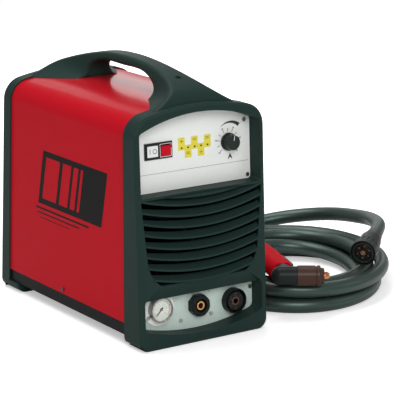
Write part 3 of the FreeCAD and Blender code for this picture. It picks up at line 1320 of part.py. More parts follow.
def coil_inset(q):
    """How far the coil has spiralled inwards after q quarter turns."""
    turning = TOP_QUARTERS + CLIMB_QUARTERS / 2
    return TURN_STEP / 4 * (q if q <= turning else 2 * turning - q)


def coil_height(q):
    climbed = min(max((q - TOP_QUARTERS) / CLIMB_QUARTERS, 0.0), 1.0)
    return HOSE / 2 + LAYER_STEP * (1 - climbed)


def coil_point(q):
    a = math.radians(90 - 90 * q)
    return Vector((COIL_HALF_SHORT - coil_inset(q)) * math.cos(a), (COIL_HALF_LONG - coil_inset(q)) * math.sin(a),
                  coil_height(q))


def coil_heading(q):
    a = math.radians(90 - 90 * q)
    return Vector(math.sin(a), -math.cos(a), 0)


def corner_arc(start, corner, end):
    """An arc that leaves start and reaches end along the legs of a corner; also its radius."""
    middle = (start + end) * 0.5
    half_chord = (end - start).Length / 2
    rise = corner - middle
    half_turn = math.atan2(rise.Length, half_chord)
    top = middle + rise.normalize() * (half_chord * math.tan(half_turn / 2))
    return Part.Arc(start, top, end).toShape(), half_chord / math.sin(half_turn)


def quarter_arcs(q):
    """Two tangent arcs through one quarter turn of the coil."""
    a, b = coil_point(q), coil_point(q + 1)
    t0, t1 = coil_heading(q), coil_heading(q + 1)
    v, t, c = b - a, t0 + t1, t0.dot(t1)
    reach = (math.sqrt(v.dot(t) ** 2 + 2 * (1 - c) * v.dot(v)) - v.dot(t)) / (2 * (1 - c))
    corner0, corner1 = a + t0 * reach, b - t1 * reach
    joint = (corner0 + corner1) * 0.5
    return corner_arc(a, corner0, joint), corner_arc(joint, corner1, b)


def coil_wire():
    """Turns that spiral in on the upper layer, climb down and spiral out on the floor."""
    quarters = TOP_QUARTERS + CLIMB_QUARTERS + LOW_QUARTERS
    arcs = [arc for q in range(quarters) for arc in quarter_arcs(q)]
    first, last = coil_point(0), coil_point(quarters)
    lead_in = Part.LineSegment(first - coil_heading(0) * HOSE, first).toShape()
    lead_out = Part.LineSegment(last, last + coil_heading(quarters) * HOSE).toShape()
    wire = Part.Wire([lead_in] + [edge for edge, radius in arcs] + [lead_out])
    print("coil radii", round(min(r for e, r in arcs), 1), "to", round(max(r for e, r in arcs), 1),
          "length", round(wire.Length, 1))
    return wire


def least_gap(wire, step=4.0):
    """Least gap of the tube to itself, on points that lie more than a radius turn apart."""
    points = wire.discretize(Distance=step)
    apart = int(2.5 * HOSE / step)
    return min(points[i].distanceToPoint(points[j])
               for i in range(len(points)) for j in range(i + apart, len(points))) - HOSE


def make_hose_coil():
    wire = coil_wire()
    print("coil's least gap to itself", round(least_gap(wire), 2))
    coil = swept(wire, HOSE / 2)
    print("coil volume", round(coil.Volume), "section x length", round(math.pi * HOSE ** 2 / 4 * wire.Length))
    coil.Placement = coil_place()
    return coil


def free_run(name, points):
    """A free stretch of the hose through its chosen points."""
    wire, length, radii = bent_path(points)
    run = swept(wire, HOSE / 2)
    print(name, "length", round(length, 1), "radii", [round(r) for r in radii],
          "volume", round(run.Volume), "section x length", round(math.pi * HOSE ** 2 / 4 * length))
    return run


def make_hose_torch_run():
    """From the boot of the torch to the upper end of the coil."""
    start = on_grip_point(Vector(GRIP_FROM + TORCH_GRIP_LENGTH + BOOT_LENGTH, 0, 0))
    first = on_grip_point(Vector(GRIP_FROM + TORCH_GRIP_LENGTH + BOOT_LENGTH + TORCH_RUN_FIRST, 0, 0))
    last = coil_to_case(coil_point(0) - coil_heading(0) * (HOSE + TORCH_RUN_LAST))
    end = coil_to_case(coil_point(0) - coil_heading(0) * HOSE)
    points = [start, first] + [coil_to_case(p) for p in TORCH_RUN] + [last, end]
    return free_run("torch run", points)


def make_hose_plug_run():
    """From the lower end of the coil round the outside and up to the plug."""
    quarters = TOP_QUARTERS + CLIMB_QUARTERS + LOW_QUARTERS
    start = coil_to_case(coil_point(quarters) + coil_heading(quarters) * HOSE)
    length = PLUG_RING_LENGTH + PLUG_BODY_LENGTH + PLUG_BOOT_LENGTH
    end = on_plug_point(Vector(0, 0, -length))
    last = on_plug_point(Vector(0, 0, -length - PLUG_RUN_LAST))
    first = coil_to_case(coil_point(quarters) + coil_heading(quarters) * (HOSE + PLUG_RUN_FIRST))
    points = [start, first] + [coil_to_case(p) for p in PLUG_RUN] + [last, end]
    return free_run("plug run", points)


def torch_height():
    """The torch's axis, lying on the upper layer of the coil."""
    return HOSE + LAYER_STEP + CUP_REST + CUP_RADIUS


def torch_place():
    return Placement(Vector(CUP_AT[0], CUP_AT[1], torch_height()), Rotation(UP, NOZZLE_TURN))


def grip_place():
    elbow = torch_place().multVec(Vector(-ELBOW, 0, 0))
    return Placement(elbow, Rotation(UP, GRIP_TURN))


def on_torch(shape):
    """From the head's coordinates (X along the nozzle) to the case."""
    moved = shape.copy()
    moved.Placement = torch_place().multiply(moved.Placement)
    return moved


def on_grip(shape):
    """From the grip's coordinates (X away from the elbow) to the case."""
    moved = shape.copy()
    moved.Placement = grip_place().multiply(moved.Placement)
    return moved


def on_grip_point(point):
    return grip_place().multVec(point)


def plug_place():
    aim = coil_to_case(PLUG_AIM) - coil_to_case((0, 0, 0))
    return Placement(coil_to_case(PLUG_AT), Rotation(UP, aim))


def on_plug(shape):
    """From the plug's coordinates (Z out of its open face) to the case."""
    moved = shape.copy()
    moved.Placement = plug_place().multiply(moved.Placement)
    return moved


def on_plug_point(point):
    return plug_place().multVec(point)


AHEAD = Vector(1, 0, 0)


def make_torch_head():
    """Round head with a rounded end, the elbow towards the grip and the spigot of the cap."""
    back = HEAD_LENGTH - HEAD_RADIUS
    barrel = rod(HEAD_RADIUS, back, Vector(-back, 0, 0), AHEAD)
    ball = Part.makeSphere(HEAD_RADIUS, Vector(-back, 0, 0), AHEAD)
    spigot = rod(CUP_RADIUS - CUP_WALL - 0.1, SPIGOT, Vector(0, 0, 0), AHEAD)
    arm = Rotation(UP, GRIP_TURN - NOZZLE_TURN).multVec(AHEAD)
    neck = rod(HEAD_RADIUS - 1, GRIP_FROM, Vector(-ELBOW, 0, 0), arm)
    return on_torch(barrel.fuse([ball, spigot, neck]))


def make_retaining_cap():
    """Heat proof cap over the tip, with a groove and a narrower nose."""
    lip = CUP_LENGTH + CUP_NOSE - CUP_WALL
    outside = rod(CUP_RADIUS, CUP_LENGTH, Vector(0, 0, 0), AHEAD)
    outside = outside.makeChamfer(1.2, [e for e in outside.Edges if e.CenterOfMass.x > CUP_LENGTH - 0.1])
    nose = Part.makeCone(CUP_NOSE_RADIUS + 1, CUP_NOSE_RADIUS, CUP_NOSE, Vector(CUP_LENGTH, 0, 0), AHEAD)
    groove = tube(CUP_RADIUS + 1, CUP_RADIUS - CUP_GROOVE, 2, Vector(CUP_LENGTH - 8, 0, 0), AHEAD)
    bore = rod(CUP_RADIUS - CUP_WALL, CUP_LENGTH - CUP_WALL, Vector(0, 0, 0), AHEAD)
    nose_bore = rod(CUP_NOSE_RADIUS - CUP_WALL, lip, Vector(0, 0, 0), AHEAD)
    hole = rod(TIP_RADIUS + FIT / 2, 80, Vector(0, 0, 0), AHEAD)
    return on_torch(outside.fuse(nose).cut([groove, bore, nose_bore, hole]))


def make_cutting_tip():
    """Copper tip: a flange behind the cap's lip, a coned nose and a fine orifice."""
    lip = CUP_LENGTH + CUP_NOSE - CUP_WALL
    end = CUP_LENGTH + CUP_NOSE + TIP_LENGTH
    flange = rod(CUP_NOSE_RADIUS - CUP_WALL - FIT, 3, Vector(lip - 3, 0, 0), AHEAD)
    barrel = rod(TIP_RADIUS, end - 4 - lip, Vector(lip, 0, 0), AHEAD)
    nose = Part.makeCone(TIP_RADIUS, TIP_RADIUS - 2.5, 4, Vector(end - 4, 0, 0), AHEAD)
    bore = rod(TIP_RADIUS - TIP_WALL, end - 5 - lip + 3, Vector(lip - 3, 0, 0), AHEAD)
    return on_torch(flange.fuse([barrel, nose]).cut([bore, rod(TIP_ORIFICE, 80, Vector(0, 0, 0), AHEAD)]))


def make_electrode():
    end = CUP_LENGTH + CUP_NOSE + TIP_LENGTH - 7
    stem = rod(ELECTRODE_RADIUS, end - SPIGOT, Vector(SPIGOT, 0, 0), AHEAD)
    return on_torch(stem.fuse(rod(ELECTRODE_RADIUS + 2.5, 6, Vector(SPIGOT, 0, 0), AHEAD)))


def grip_section(x, half, thick):
    corners = [Vector(x, -half, -thick), Vector(x, half, -thick), Vector(x, half, thick), Vector(x, -half, thick)]
    return rounded_section(corners, thick - 3)


def trigger_pivot():
    return Vector(GRIP_FROM + TRIGGER_FROM + PIVOT_IN, -TORCH_GRIP_HALF + TRIGGER_DEEP - PIVOT_IN, 0)


def make_torch_grip():
    """Moulded grip, fuller round the trigger and tapering to the hose, with the trigger's pocket."""
    end = GRIP_FROM + TORCH_GRIP_LENGTH
    half, thick = TORCH_GRIP_HALF, TORCH_GRIP_THICK
    sections = [grip_section(GRIP_FROM, half - TORCH_GRIP_TAPER, thick - 1),
                grip_section(GRIP_FROM + TRIGGER_FROM, half, thick),
                grip_section(GRIP_FROM + TRIGGER_FROM + TRIGGER_LENGTH + 12, half, thick),
                grip_section(end, half - TORCH_GRIP_TAPER, thick - 1)]
    body = Part.makeLoft(sections, True, True)
    x0 = GRIP_FROM + TRIGGER_FROM - TRIGGER_GAP
    x1 = GRIP_FROM + TRIGGER_FROM + TRIGGER_LENGTH + 1.5
    floor = -half + TRIGGER_DEEP + TRIGGER_TRAVEL + 1.0
    wide = TRIGGER_WIDE / 2 + 0.4
    body = body.cut(box(x0, x1, -half - 5, floor, -wide, wide))
    pin = rod(PIVOT_RADIUS, 2 * wide + 2, trigger_pivot() - UP * (wide + 1), UP)
    return on_grip(body.fuse(pin))


def make_torch_trigger():
    """Lever on its pin near the head, with a rounded thumb side."""
    x0 = GRIP_FROM + TRIGGER_FROM
    out = -TORCH_GRIP_HALF - TRIGGER_PROUD
    lever = box(x0, x0 + TRIGGER_LENGTH, out, out + TRIGGER_PROUD + TRIGGER_DEEP, -TRIGGER_WIDE / 2, TRIGGER_WIDE / 2)
    ends = [e for e in lever.Edges if e.BoundBox.ZLength > TRIGGER_WIDE - 1 and abs(e.CenterOfMass.y - out) < 0.1]
    lever = lever.makeFillet(4, ends)
    return on_grip(lever.cut(rod(PIVOT_RADIUS + RUN, 40, trigger_pivot() - UP * 20, UP)))


def make_torch_boot():
    """Strain relief between the grip and the hose."""
    start = GRIP_FROM + TORCH_GRIP_LENGTH
    boot = Part.makeCone(BOOT_RADIUS - 1, BOOT_END, BOOT_LENGTH, Vector(start, 0, 0), AHEAD)
    grooves = [tube(BOOT_RADIUS + 2, BOOT_END - 1.0, 2, Vector(start + 6 + 6 * i, 0, 0), AHEAD) for i in range(4)]
    return on_grip(boot.cut(grooves))


def make_connector_body():
    """Core of the plug: open well with the pins, shoulder behind the ring, and the hose boot."""
    front = PLUG_BODY_RADIUS
    well = rod(SOCKET_NOSE + 0.4, PLUG_WELL, Vector(0, 0, -PLUG_WELL), UP)
    core = rod(front, PLUG_RING_LENGTH + PLUG_BODY_LENGTH, Vector(0, 0, 0), -UP)
    shoulder = rod(PLUG_SHOULDER, PLUG_SHOULDER_LENGTH, Vector(0, 0, -PLUG_RING_LENGTH - 0.3), -UP)
    boot = Part.makeCone(front - 1, HOSE / 2 + 1.5, PLUG_BOOT_LENGTH,
                         Vector(0, 0, -PLUG_RING_LENGTH - PLUG_BODY_LENGTH), -UP)
    return on_plug(core.fuse([shoulder, boot]).cut(well))


def make_connector_collar():
    """Knurled ring that turns on the core of the plug."""
    ring = tube(PLUG_RING_RADIUS, PLUG_BODY_RADIUS + RUN, PLUG_RING_LENGTH, Vector(0, 0, -PLUG_RING_LENGTH), UP)
    grooves = []
    for i in range(PLUG_GROOVES):
        a = math.radians(i * 360 / PLUG_GROOVES)
        aside = Vector(math.cos(a), math.sin(a), 0) * (PLUG_RING_RADIUS + 1.0)
        grooves.append(rod(1.8, PLUG_RING_LENGTH - 8, aside - UP * (PLUG_RING_LENGTH - 4), UP))
    mouth = rod(TORCH_SOCKET_RADIUS + 0.2, PLUG_MOUTH, -UP * PLUG_MOUTH, UP)
    return on_plug(ring.cut(grooves + [mouth]))


def make_connector_pins():
    """Centre pin for the current and the gas, and the small pins of the trigger's wires."""
    floor = Vector(0, 0, -PLUG_WELL)
    pins = [rod(PLUG_PIN, PLUG_PIN_LENGTH, floor, UP)]
    pins += [rod(SOCKET_PIN, 8, floor + Vector(x, y, 0), UP) for x, y in small_contact_places()]
    return [on_plug(p) for p in pins]


def build():
    os.makedirs("parts", exist_ok=True)
    save("front_bezel", make_front_bezel())
    save("rear_bezel", make_rear_bezel())
    save("handle", make_handle())
    save("cover", make_cover())
    save("base_tray", make_base_tray())
    save("rear_panel", make_rear_panel())
    save("control_plate", make_control_plate())
    save("connection_plate", make_connection_plate())
    save("cover_screws", *make_cover_screws())
    save("handle_screws", *make_handle_screws())
    save("panel_screws", *make_panel_screws())
    save("rear_screws", *make_rear_screws())
    save("switch_housing", make_switch_housing())
    save("switch_rocker", make_switch_rocker())
    save("status_leds", *make_status_leds())
    save("control_board", make_control_board())
    save("potentiometer", make_potentiometer())
    save("knob_shaft", make_knob_shaft())
    save("knob", make_knob())
    save("gauge_case", make_gauge_case())
    save("gauge_flange", make_gauge_flange())
    save("gauge_dial", make_gauge_dial())
    save("gauge_needle", make_gauge_needle())
    save("gauge_lens", make_gauge_lens())
    save("earth_socket_body", make_earth_socket_body())
    save("earth_socket_insert", make_earth_socket_insert())
    save("torch_socket_body", make_torch_socket_body())
    save("torch_socket_contacts", *make_torch_socket_contacts())
    save("socket_nuts", *make_socket_nuts())
    save("fan_frame", make_fan_frame())
    save("fan_rotor", make_fan_rotor())
    save("fan_guard", make_fan_guard())
    save("cable_gland", make_cable_gland())
    save("air_inlet_fitting", make_air_inlet_fitting())
    save("air_regulator", make_air_regulator())
    save("filter_bowl", make_filter_bowl())
    save("regulator_knob", make_regulator_knob())
    save("solenoid_valve", make_solenoid_valve())
    save("air_pipe", make_air_pipe())
    save("heatsink", make_heatsink())
    save("power_modules", *make_power_modules())
    save("power_board", make_power_board())
    save("capacitors", *make_capacitors())
    save("transformer_core", make_transformer_core())
    save("transformer_winding", make_transformer_winding())
    save("output_choke", make_output_choke())
    save("hf_unit", make_hf_unit())
    save("torch_grip", make_torch_grip())
    save("torch_trigger", make_torch_trigger())
    save("torch_head", make_torch_head())
    save("retaining_cap", make_retaining_cap())
    save("cutting_tip", make_cutting_tip())
    save("electrode", make_electrode())
    save("torch_boot", make_torch_boot())
    save("hose_coil", make_hose_coil())
    save("hose_torch_run", make_hose_torch_run())
    save("hose_plug_run", make_hose_plug_run())
    save("connector_body", make_connector_body())
    save("connector_collar", make_connector_collar())
    save("connector_pins", *make_connector_pins())


build()
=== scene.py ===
"""Plasma cutter unit: finishes, printed panels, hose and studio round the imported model."""
import json
import math

import bmesh
import bpy
from bpy.props import FloatProperty, FloatVectorProperty, IntProperty, PointerProperty
from bpy.types import Operator, Panel, PropertyGroup
from mathutils import Matrix, Vector


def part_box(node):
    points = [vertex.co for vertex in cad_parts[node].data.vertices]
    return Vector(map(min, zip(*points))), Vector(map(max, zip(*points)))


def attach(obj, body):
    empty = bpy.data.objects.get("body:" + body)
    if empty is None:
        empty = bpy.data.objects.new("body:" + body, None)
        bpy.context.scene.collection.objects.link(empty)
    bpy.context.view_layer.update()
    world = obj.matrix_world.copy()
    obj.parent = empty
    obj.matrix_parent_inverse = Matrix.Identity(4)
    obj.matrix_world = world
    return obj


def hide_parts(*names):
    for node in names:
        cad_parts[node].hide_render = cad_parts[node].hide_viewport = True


bl_info = {
    "name": "Plasma Cutter Unit",
    "version": (1, 0, 0),
    "blender": (4, 5, 0),
    "location": "3D View > Sidebar > Cutter",
    "description": "Dresses the plasma cutter unit, its hose and torch, and sets the studio",
    "category": "Object",
}

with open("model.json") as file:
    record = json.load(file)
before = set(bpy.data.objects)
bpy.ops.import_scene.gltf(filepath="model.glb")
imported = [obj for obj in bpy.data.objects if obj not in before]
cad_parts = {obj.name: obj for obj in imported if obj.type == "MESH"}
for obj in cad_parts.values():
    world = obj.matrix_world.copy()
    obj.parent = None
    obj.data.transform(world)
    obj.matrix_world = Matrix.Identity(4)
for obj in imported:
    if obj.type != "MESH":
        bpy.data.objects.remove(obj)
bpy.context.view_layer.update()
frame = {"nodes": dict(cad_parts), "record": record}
NODES = frame["nodes"]

MM = 0.001
# The front face is a plane that leans back from a line on the floor, this far in mm before the middle
FRONT_FOOT = -215.0
FRONT_LEAN = math.radians(2.7)
# Corners sharper than the first angle are eased, edges flatter than the second one go, and points that are
# closer than this distance in metres become one
EASED_ANGLE = math.radians(38.0)
FLAT_ANGLE = math.radians(0.5)
MERGED = 3e-6


# Places

def face_matrix(depth, at=(0.0, 0.0)):
    """Local X to the right, Y up the leaning front face and Z out of it; depth is counted inwards, in mm."""
    c, s = math.cos(FRONT_LEAN), math.sin(FRONT_LEAN)
    x, height = at
    place = Vector((x, FRONT_FOOT + c * depth + s * height, -s * depth + c * height)) * MM
    turn = Matrix(((1, 0, 0), (0, s, -c), (0, c, s))).to_4x4()
    return Matrix.Translation(place) @ turn


def side_matrix():
    """Local X forwards from the middle and Y up from the floor on the cover's left side, Z out of it."""
    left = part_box("cover")[0].x
    turn = Matrix(((0, 0, -1), (-1, 0, 0), (0, 1, 0))).to_4x4()
    return Matrix.Translation(Vector((left, 0, 0))) @ turn


def front_depth(node):
    """Depth in mm of a node's foremost plane, counted inwards from the front face."""
    c, s = math.cos(FRONT_LEAN), math.sin(FRONT_LEAN)
    return min(c * (v.co.y / MM - FRONT_FOOT) - s * v.co.z / MM for v in NODES[node].data.vertices)


# Meshes

def link(obj):
    bpy.context.scene.collection.objects.link(obj)
    return obj


def give(obj, material):
    """Puts one material in the place of all that a piece has."""
    obj.data.materials.clear()
    obj.data.materials.append(material)


def settle(obj, body, material):
    """Puts a finished piece on its body, with its material."""
    give(obj, material)
    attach(obj, body)


def mesh_piece(name, bm, matrix=None):
    """Ends a mesh, moves it to its place and links it as a piece."""
    mesh = bpy.data.meshes.new(name)
    bm.normal_update()
    bm.to_mesh(mesh)
    bm.free()
    if matrix is not None:
        mesh.transform(matrix)
    return link(bpy.data.objects.new(name, mesh))


def body_of(node):
    for body, members in frame["record"]["behaviour"]["bodies"].items():
        if node in members:
            return body
    raise RuntimeError("no body holds " + node)


def eased(node, material, width, segments=2):
    """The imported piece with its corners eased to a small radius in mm, as moulding and turning leave them."""
    mesh = NODES[node].data.copy()
    if "custom_normal" in mesh.attributes:
        mesh.attributes.remove(mesh.attributes["custom_normal"])
    bm = bmesh.new()
    bm.from_mesh(mesh)
    bmesh.ops.remove_doubles(bm, verts=bm.verts, dist=MERGED)
    bmesh.ops.dissolve_limit(bm, angle_limit=FLAT_ANGLE, verts=bm.verts, edges=bm.edges)
    bm.to_mesh(mesh)
    bm.free()
    mesh.shade_smooth()
    piece = link(bpy.data.objects.new("eased_" + node, mesh))
    ease = piece.modifiers.new("Eased corners", "BEVEL")
    ease.width = width * MM
    ease.segments = segments
    ease.limit_method = "ANGLE"
    ease.angle_limit = EASED_ANGLE
    ease.harden_normals = True
    ease.use_clamp_overlap = True
    settle(piece, body_of(node), material)
    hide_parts(node)


def finish_node(node, material):
    """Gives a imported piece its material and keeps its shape."""
    give(NODES[node], material)


def flat_shapes(name, outlines, matrix, material, rise=0.04, body="case"):
    """Thin printed shapes: each outline is a closed loop of (x, y) in mm on the matrix's plane."""
    bm = bmesh.new()
    for loop in outlines:
        area = sum(a[0] * b[1] - b[0] * a[1] for a, b in zip(loop, loop[1:] + loop[:1]))
        points = loop if area > 0 else loop[::-1]
        bm.faces.new([bm.verts.new((x * MM, y * MM, rise * MM)) for x, y in points])
    settle(mesh_piece(name, bm, matrix), body, material)


def printed_text(name, entries, matrix, size, rise=0.05, weight=0.0):
    """Black numbers or unit letters: entries are (text, x, y) in mm; weight thickens the strokes."""
    bm = bmesh.new()
    for text, x, y in entries:
        curve = bpy.data.curves.new(name + "_letters", "FONT")
        curve.body = text
        curve.size = size * MM
        curve.offset = weight * MM
        curve.align_x = "CENTER"
        curve.align_y = "CENTER"
        holder = link(bpy.data.objects.new(name + "_letters", curve))
        letters = bpy.data.meshes.new_from_object(holder)
        letters.transform(Matrix.Translation(Vector((x * MM, y * MM, rise * MM))))
        bm.from_mesh(letters)
        bpy.data.objects.remove(holder)
        bpy.data.curves.remove(curve)
        bpy.data.meshes.remove(letters)
    settle(mesh_piece(name, bm, matrix), "case", black_ink())


def ring_point(centre, radius, angle):
    """The point of a circle at an angle in degrees."""
    a = math.radians(angle)
    return centre[0] + radius * math.cos(a), centre[1] + radius * math.sin(a)


def bar(x0, y0, x1, y1, width):
    """A straight stroke from one point to the other."""
    dx, dy = x1 - x0, y1 - y0
    length = math.hypot(dx, dy)
    nx, ny = -dy / length * width / 2, dx / length * width / 2
    return [(x0 + nx, y0 + ny), (x0 - nx, y0 - ny), (x1 - nx, y1 - ny), (x1 + nx, y1 + ny)]


def arc_band(centre, radius, start, end, width0, width1=None, steps=24):
    """A curved stroke whose width runs from one value to the other; angles in degrees."""
    width1 = width0 if width1 is None else width1
    outer, inner = [], []
    for i in range(steps + 1):
        t = i / steps
        angle = start + (end - start) * t
        half = (width0 + (width1 - width0) * t) / 2
        outer.append(ring_point(centre, radius + half, angle))
        inner.append(ring_point(centre, radius - half, angle))
    return outer + inner[::-1]


def rounded_rectangle(centre, width, height, radius, steps=3):
    loop = []
    for sx, sy, start in ((1, 1, 0), (-1, 1, 90), (-1, -1, 180), (1, -1, 270)):
        corner = (centre[0] + sx * (width / 2 - radius), centre[1] + sy * (height / 2 - radius))
        loop += [ring_point(corner, radius, start + 90 * i / steps) for i in range(steps + 1)]
    return loop


def frame_bars(centre, width, height, line):
    """The four strokes of a drawn rectangle."""
    left, right = centre[0] - width / 2, centre[0] + width / 2
    low, high = centre[1] - height / 2, centre[1] + height / 2
    return [bar(left, high, right, high, line), bar(left, low, right, low, line),
            bar(left, low, left, high, line), bar(right, low, right, high, line)]


# Shared shader effects

FLOAT = "NodeSocketFloat"
COLOUR = "NodeSocketColor"
VECTOR = "NodeSocketVector"


def new_group(name, inputs, outputs):
    """An empty node group, with the sockets that it is given and those that it makes."""
    group = bpy.data.node_groups.new(name, "ShaderNodeTree")
    for label, kind, value in inputs:
        socket = group.interface.new_socket(name=label, in_out="INPUT", socket_type=kind)
        socket.default_value = value
    for label, kind in outputs:
        group.interface.new_socket(name=label, in_out="OUTPUT", socket_type=kind)
    return group, group.nodes.new("NodeGroupInput").outputs, group.nodes.new("NodeGroupOutput").inputs


def node_in(tree, kind, **settings):
    """A new shader node of this kind, with its settings."""
    node = tree.nodes.new("ShaderNode" + kind)
    for key, value in settings.items():
        setattr(node, key, value)
    return node


def feed(tree, socket, value):
    """Joins another node's output to a socket, or sets the socket to a plain value."""
    if isinstance(value, bpy.types.NodeSocket):
        tree.links.new(value, socket)
    else:
        socket.default_value = value


def math_node(tree, operation, a, b, clamp=False):
    node = node_in(tree, "Math", operation=operation, use_clamp=clamp)
    feed(tree, node.inputs[0], a)
    feed(tree, node.inputs[1], b)
    return node.outputs[0]


def swing(tree, value, amount):
    """How far a value lies from one half, times an amount."""
    return math_node(tree, "MULTIPLY", math_node(tree, "SUBTRACT", value, 0.5), amount)


def product(tree, a, b, c):
    """Three values multiplied and kept between 0 and 1."""
    return math_node(tree, "MULTIPLY", math_node(tree, "MULTIPLY", a, b), c, clamp=True)


def mix_colour(tree, factor, a, b):
    """Two colours mixed: sockets 0, 6 and 7 take the factor and the colours."""
    node = node_in(tree, "Mix", data_type="RGBA")
    for index, value in ((0, factor), (6, a), (7, b)):
        feed(tree, node.inputs[index], value)
    return node.outputs[2]


def map_range(tree, value, low, high, to_low=0.0, to_high=1.0):
    node = node_in(tree, "MapRange")
    for label, number in (("Value", value), ("From Min", low), ("From Max", high), ("To Min", to_low),
                          ("To Max", to_high)):
        feed(tree, node.inputs[label], number)
    return node.outputs["Result"]


def noise(tree, place, scale, detail=3.0, rough=0.6):
    node = node_in(tree, "TexNoise")
    for label, value in (("Vector", place), ("Scale", scale), ("Detail", detail), ("Roughness", rough)):
        feed(tree, node.inputs[label], value)
    return node.outputs["Fac"]


def own_place(tree):
    """The shaded point in the piece's own space."""
    return node_in(tree, "TexCoord").outputs["Object"]


def build_grain_group():
    """Fine spark-eroded grain of a moulding: a height and an uneven roughness."""
    group, given, made = new_group(
        "Moulded Grain", [("Grain Size", FLOAT, 0.7), ("Roughness", FLOAT, 0.5), ("Unevenness", FLOAT, 0.12)],
        [("Height", FLOAT), ("Roughness", FLOAT)])
    place = own_place(group)
    fine = noise(group, place, math_node(group, "DIVIDE", 1000.0, given["Grain Size"]), detail=2.0)
    coarse = noise(group, place, 34.0, rough=0.55)
    group.links.new(fine, made["Height"])
    spread = swing(group, coarse, given["Unevenness"])
    uneven = math_node(group, "ADD", given["Roughness"], spread)
    total = math_node(group, "ADD", uneven, swing(group, fine, 0.15), clamp=True)
    group.links.new(total, made["Roughness"])
    return group


def build_tone_group():
    """Slow change of tone over a surface, with paler edges that are partly wear and partly painted highlight.
    """
    group, given, made = new_group(
        "Tone, Wear And Painted Edge Highlight",
        [("Color", COLOUR, (0.5, 0.5, 0.5, 1)), ("Worn Color", COLOUR, (0.6, 0.6, 0.6, 1)),
         ("Wear", FLOAT, 0.3), ("Patch Size", FLOAT, 60.0), ("Tone", FLOAT, 0.06)],
        [("Color", COLOUR), ("Mask", FLOAT)])
    place = own_place(group)
    patches = noise(group, place, math_node(group, "DIVIDE", 1000.0, given["Patch Size"]), rough=0.55)
    value = math_node(group, "ADD", swing(group, patches, given["Tone"]), 1.0)
    bright = node_in(group, "HueSaturation")
    group.links.new(value, bright.inputs["Value"])
    group.links.new(given["Color"], bright.inputs["Color"])
    # Convex edges turn paler: partly wear, partly a painted highlight where light catches the edges.
    point = node_in(group, "NewGeometry").outputs["Pointiness"]
    ridge = map_range(group, point, 0.52, 0.60)
    broken = map_range(group, noise(group, place, 160.0, detail=4.0), 0.38, 0.62)
    worn_and_highlit_edges = product(group, ridge, broken, given["Wear"])
    mixed = mix_colour(group, worn_and_highlit_edges, bright.outputs["Color"], given["Worn Color"])
    group.links.new(mixed, made["Color"])
    group.links.new(worn_and_highlit_edges, made["Mask"])
    return group


def build_dust_group():
    """Workshop dust that settles where a surface faces up."""
    group, given, made = new_group(
        "Settled Dust",
        [("Color", COLOUR, (0.5, 0.5, 0.5, 1)), ("Roughness", FLOAT, 0.4), ("Amount", FLOAT, 0.1)],
        [("Color", COLOUR), ("Roughness", FLOAT)])
    split = node_in(group, "SeparateXYZ")
    group.links.new(node_in(group, "NewGeometry").outputs["Normal"], split.inputs[0])
    up = map_range(group, split.outputs["Z"], 0.3, 1.0, 0.15)
    spots = map_range(group, noise(group, own_place(group), 70.0, detail=6.0, rough=0.7), 0.35, 0.75, 0.3)
    amount = product(group, up, spots, given["Amount"])
    mixed = mix_colour(group, amount, given["Color"], DUST)
    group.links.new(mixed, made["Color"])
    matted = math_node(group, "MULTIPLY", amount, 0.5)
    rough = math_node(group, "ADD", given["Roughness"], matted, clamp=True)
    group.links.new(rough, made["Roughness"])
    return group


def build_brushed_group():
    """Fine parallel lines of a brushed, drawn or turned surface."""
    group, given, made = new_group(
        "Brushed Lines", [("Stretch", VECTOR, (1.0, 60.0, 60.0)), ("Scale", FLOAT, 25.0),
                          ("Roughness", FLOAT, 0.3), ("Depth", FLOAT, 0.15)],
        [("Height", FLOAT), ("Roughness", FLOAT)])
    stretch = node_in(group, "VectorMath", operation="MULTIPLY")
    group.links.new(own_place(group), stretch.inputs[0])
    group.links.new(given["Stretch"], stretch.inputs[1])
    lines = noise(group, stretch.outputs[0], given["Scale"])
    group.links.new(lines, made["Height"])
    spread = swing(group, lines, given["Depth"])
    rough = math_node(group, "ADD", given["Roughness"], spread, clamp=True)
    group.links.new(rough, made["Roughness"])
    return group


def build_folded_group():
    """Masks of a sheet folded round the case: its inner side, for painted shade, and its outer side facing up.
    """
    group, given, made = new_group(
        "Folded Sheet And Painted Inner Shade", [("Middle", FLOAT, 0.2)], [("Inner", FLOAT), ("Gloss", FLOAT)])
    place = node_in(group, "SeparateXYZ")
    group.links.new(own_place(group), place.inputs[0])
    height = math_node(group, "SUBTRACT", place.outputs["Z"], given["Middle"])
    away = node_in(group, "CombineXYZ")
    group.links.new(place.outputs["X"], away.inputs["X"])
    group.links.new(height, away.inputs["Z"])
    normal = node_in(group, "TexCoord").outputs["Normal"]
    facing = node_in(group, "VectorMath", operation="DOT_PRODUCT")
    group.links.new(normal, facing.inputs[0])
    group.links.new(away.outputs[0], facing.inputs[1])
    outer = math_node(group, "GREATER_THAN", facing.outputs["Value"], 0.0)
    # The inner side is the mask for the cover's painted shade.
    group.links.new(math_node(group, "SUBTRACT", 1.0, outer), made["Inner"])
    upward = node_in(group, "SeparateXYZ")
    group.links.new(normal, upward.inputs[0])
    top = map_range(group, upward.outputs["Z"], 0.975, 0.9995, 0.0, 0.85)
    group.links.new(math_node(group, "MULTIPLY", outer, top), made["Gloss"])
    return group


GROUPS = {}
GROUP_MAKERS = {"grain": build_grain_group, "tone": build_tone_group, "dust": build_dust_group,
                "brushed": build_brushed_group, "folded": build_folded_group}


def shared(name):
    if name not in GROUPS:
        GROUPS[name] = GROUP_MAKERS[name]()
    return GROUPS[name]


def place_group(tree, name, **values):
    node = node_in(tree, "Group", node_tree=shared(name))
    for key, value in values.items():
        feed(tree, node.inputs[key.replace("_", " ")], value)
    return node


MATERIALS = {}


def grey(value):
    return (value, value, value, 1.0)


def rgba(colour):
    return (colour[0], colour[1], colour[2], 1.0)


def start_material(name):
    material = bpy.data.materials.new(name)
    MATERIALS[name] = material
    material.use_nodes = True
    tree = material.node_tree
    shader = tree.nodes["Principled BSDF"]
    return material, tree, shader


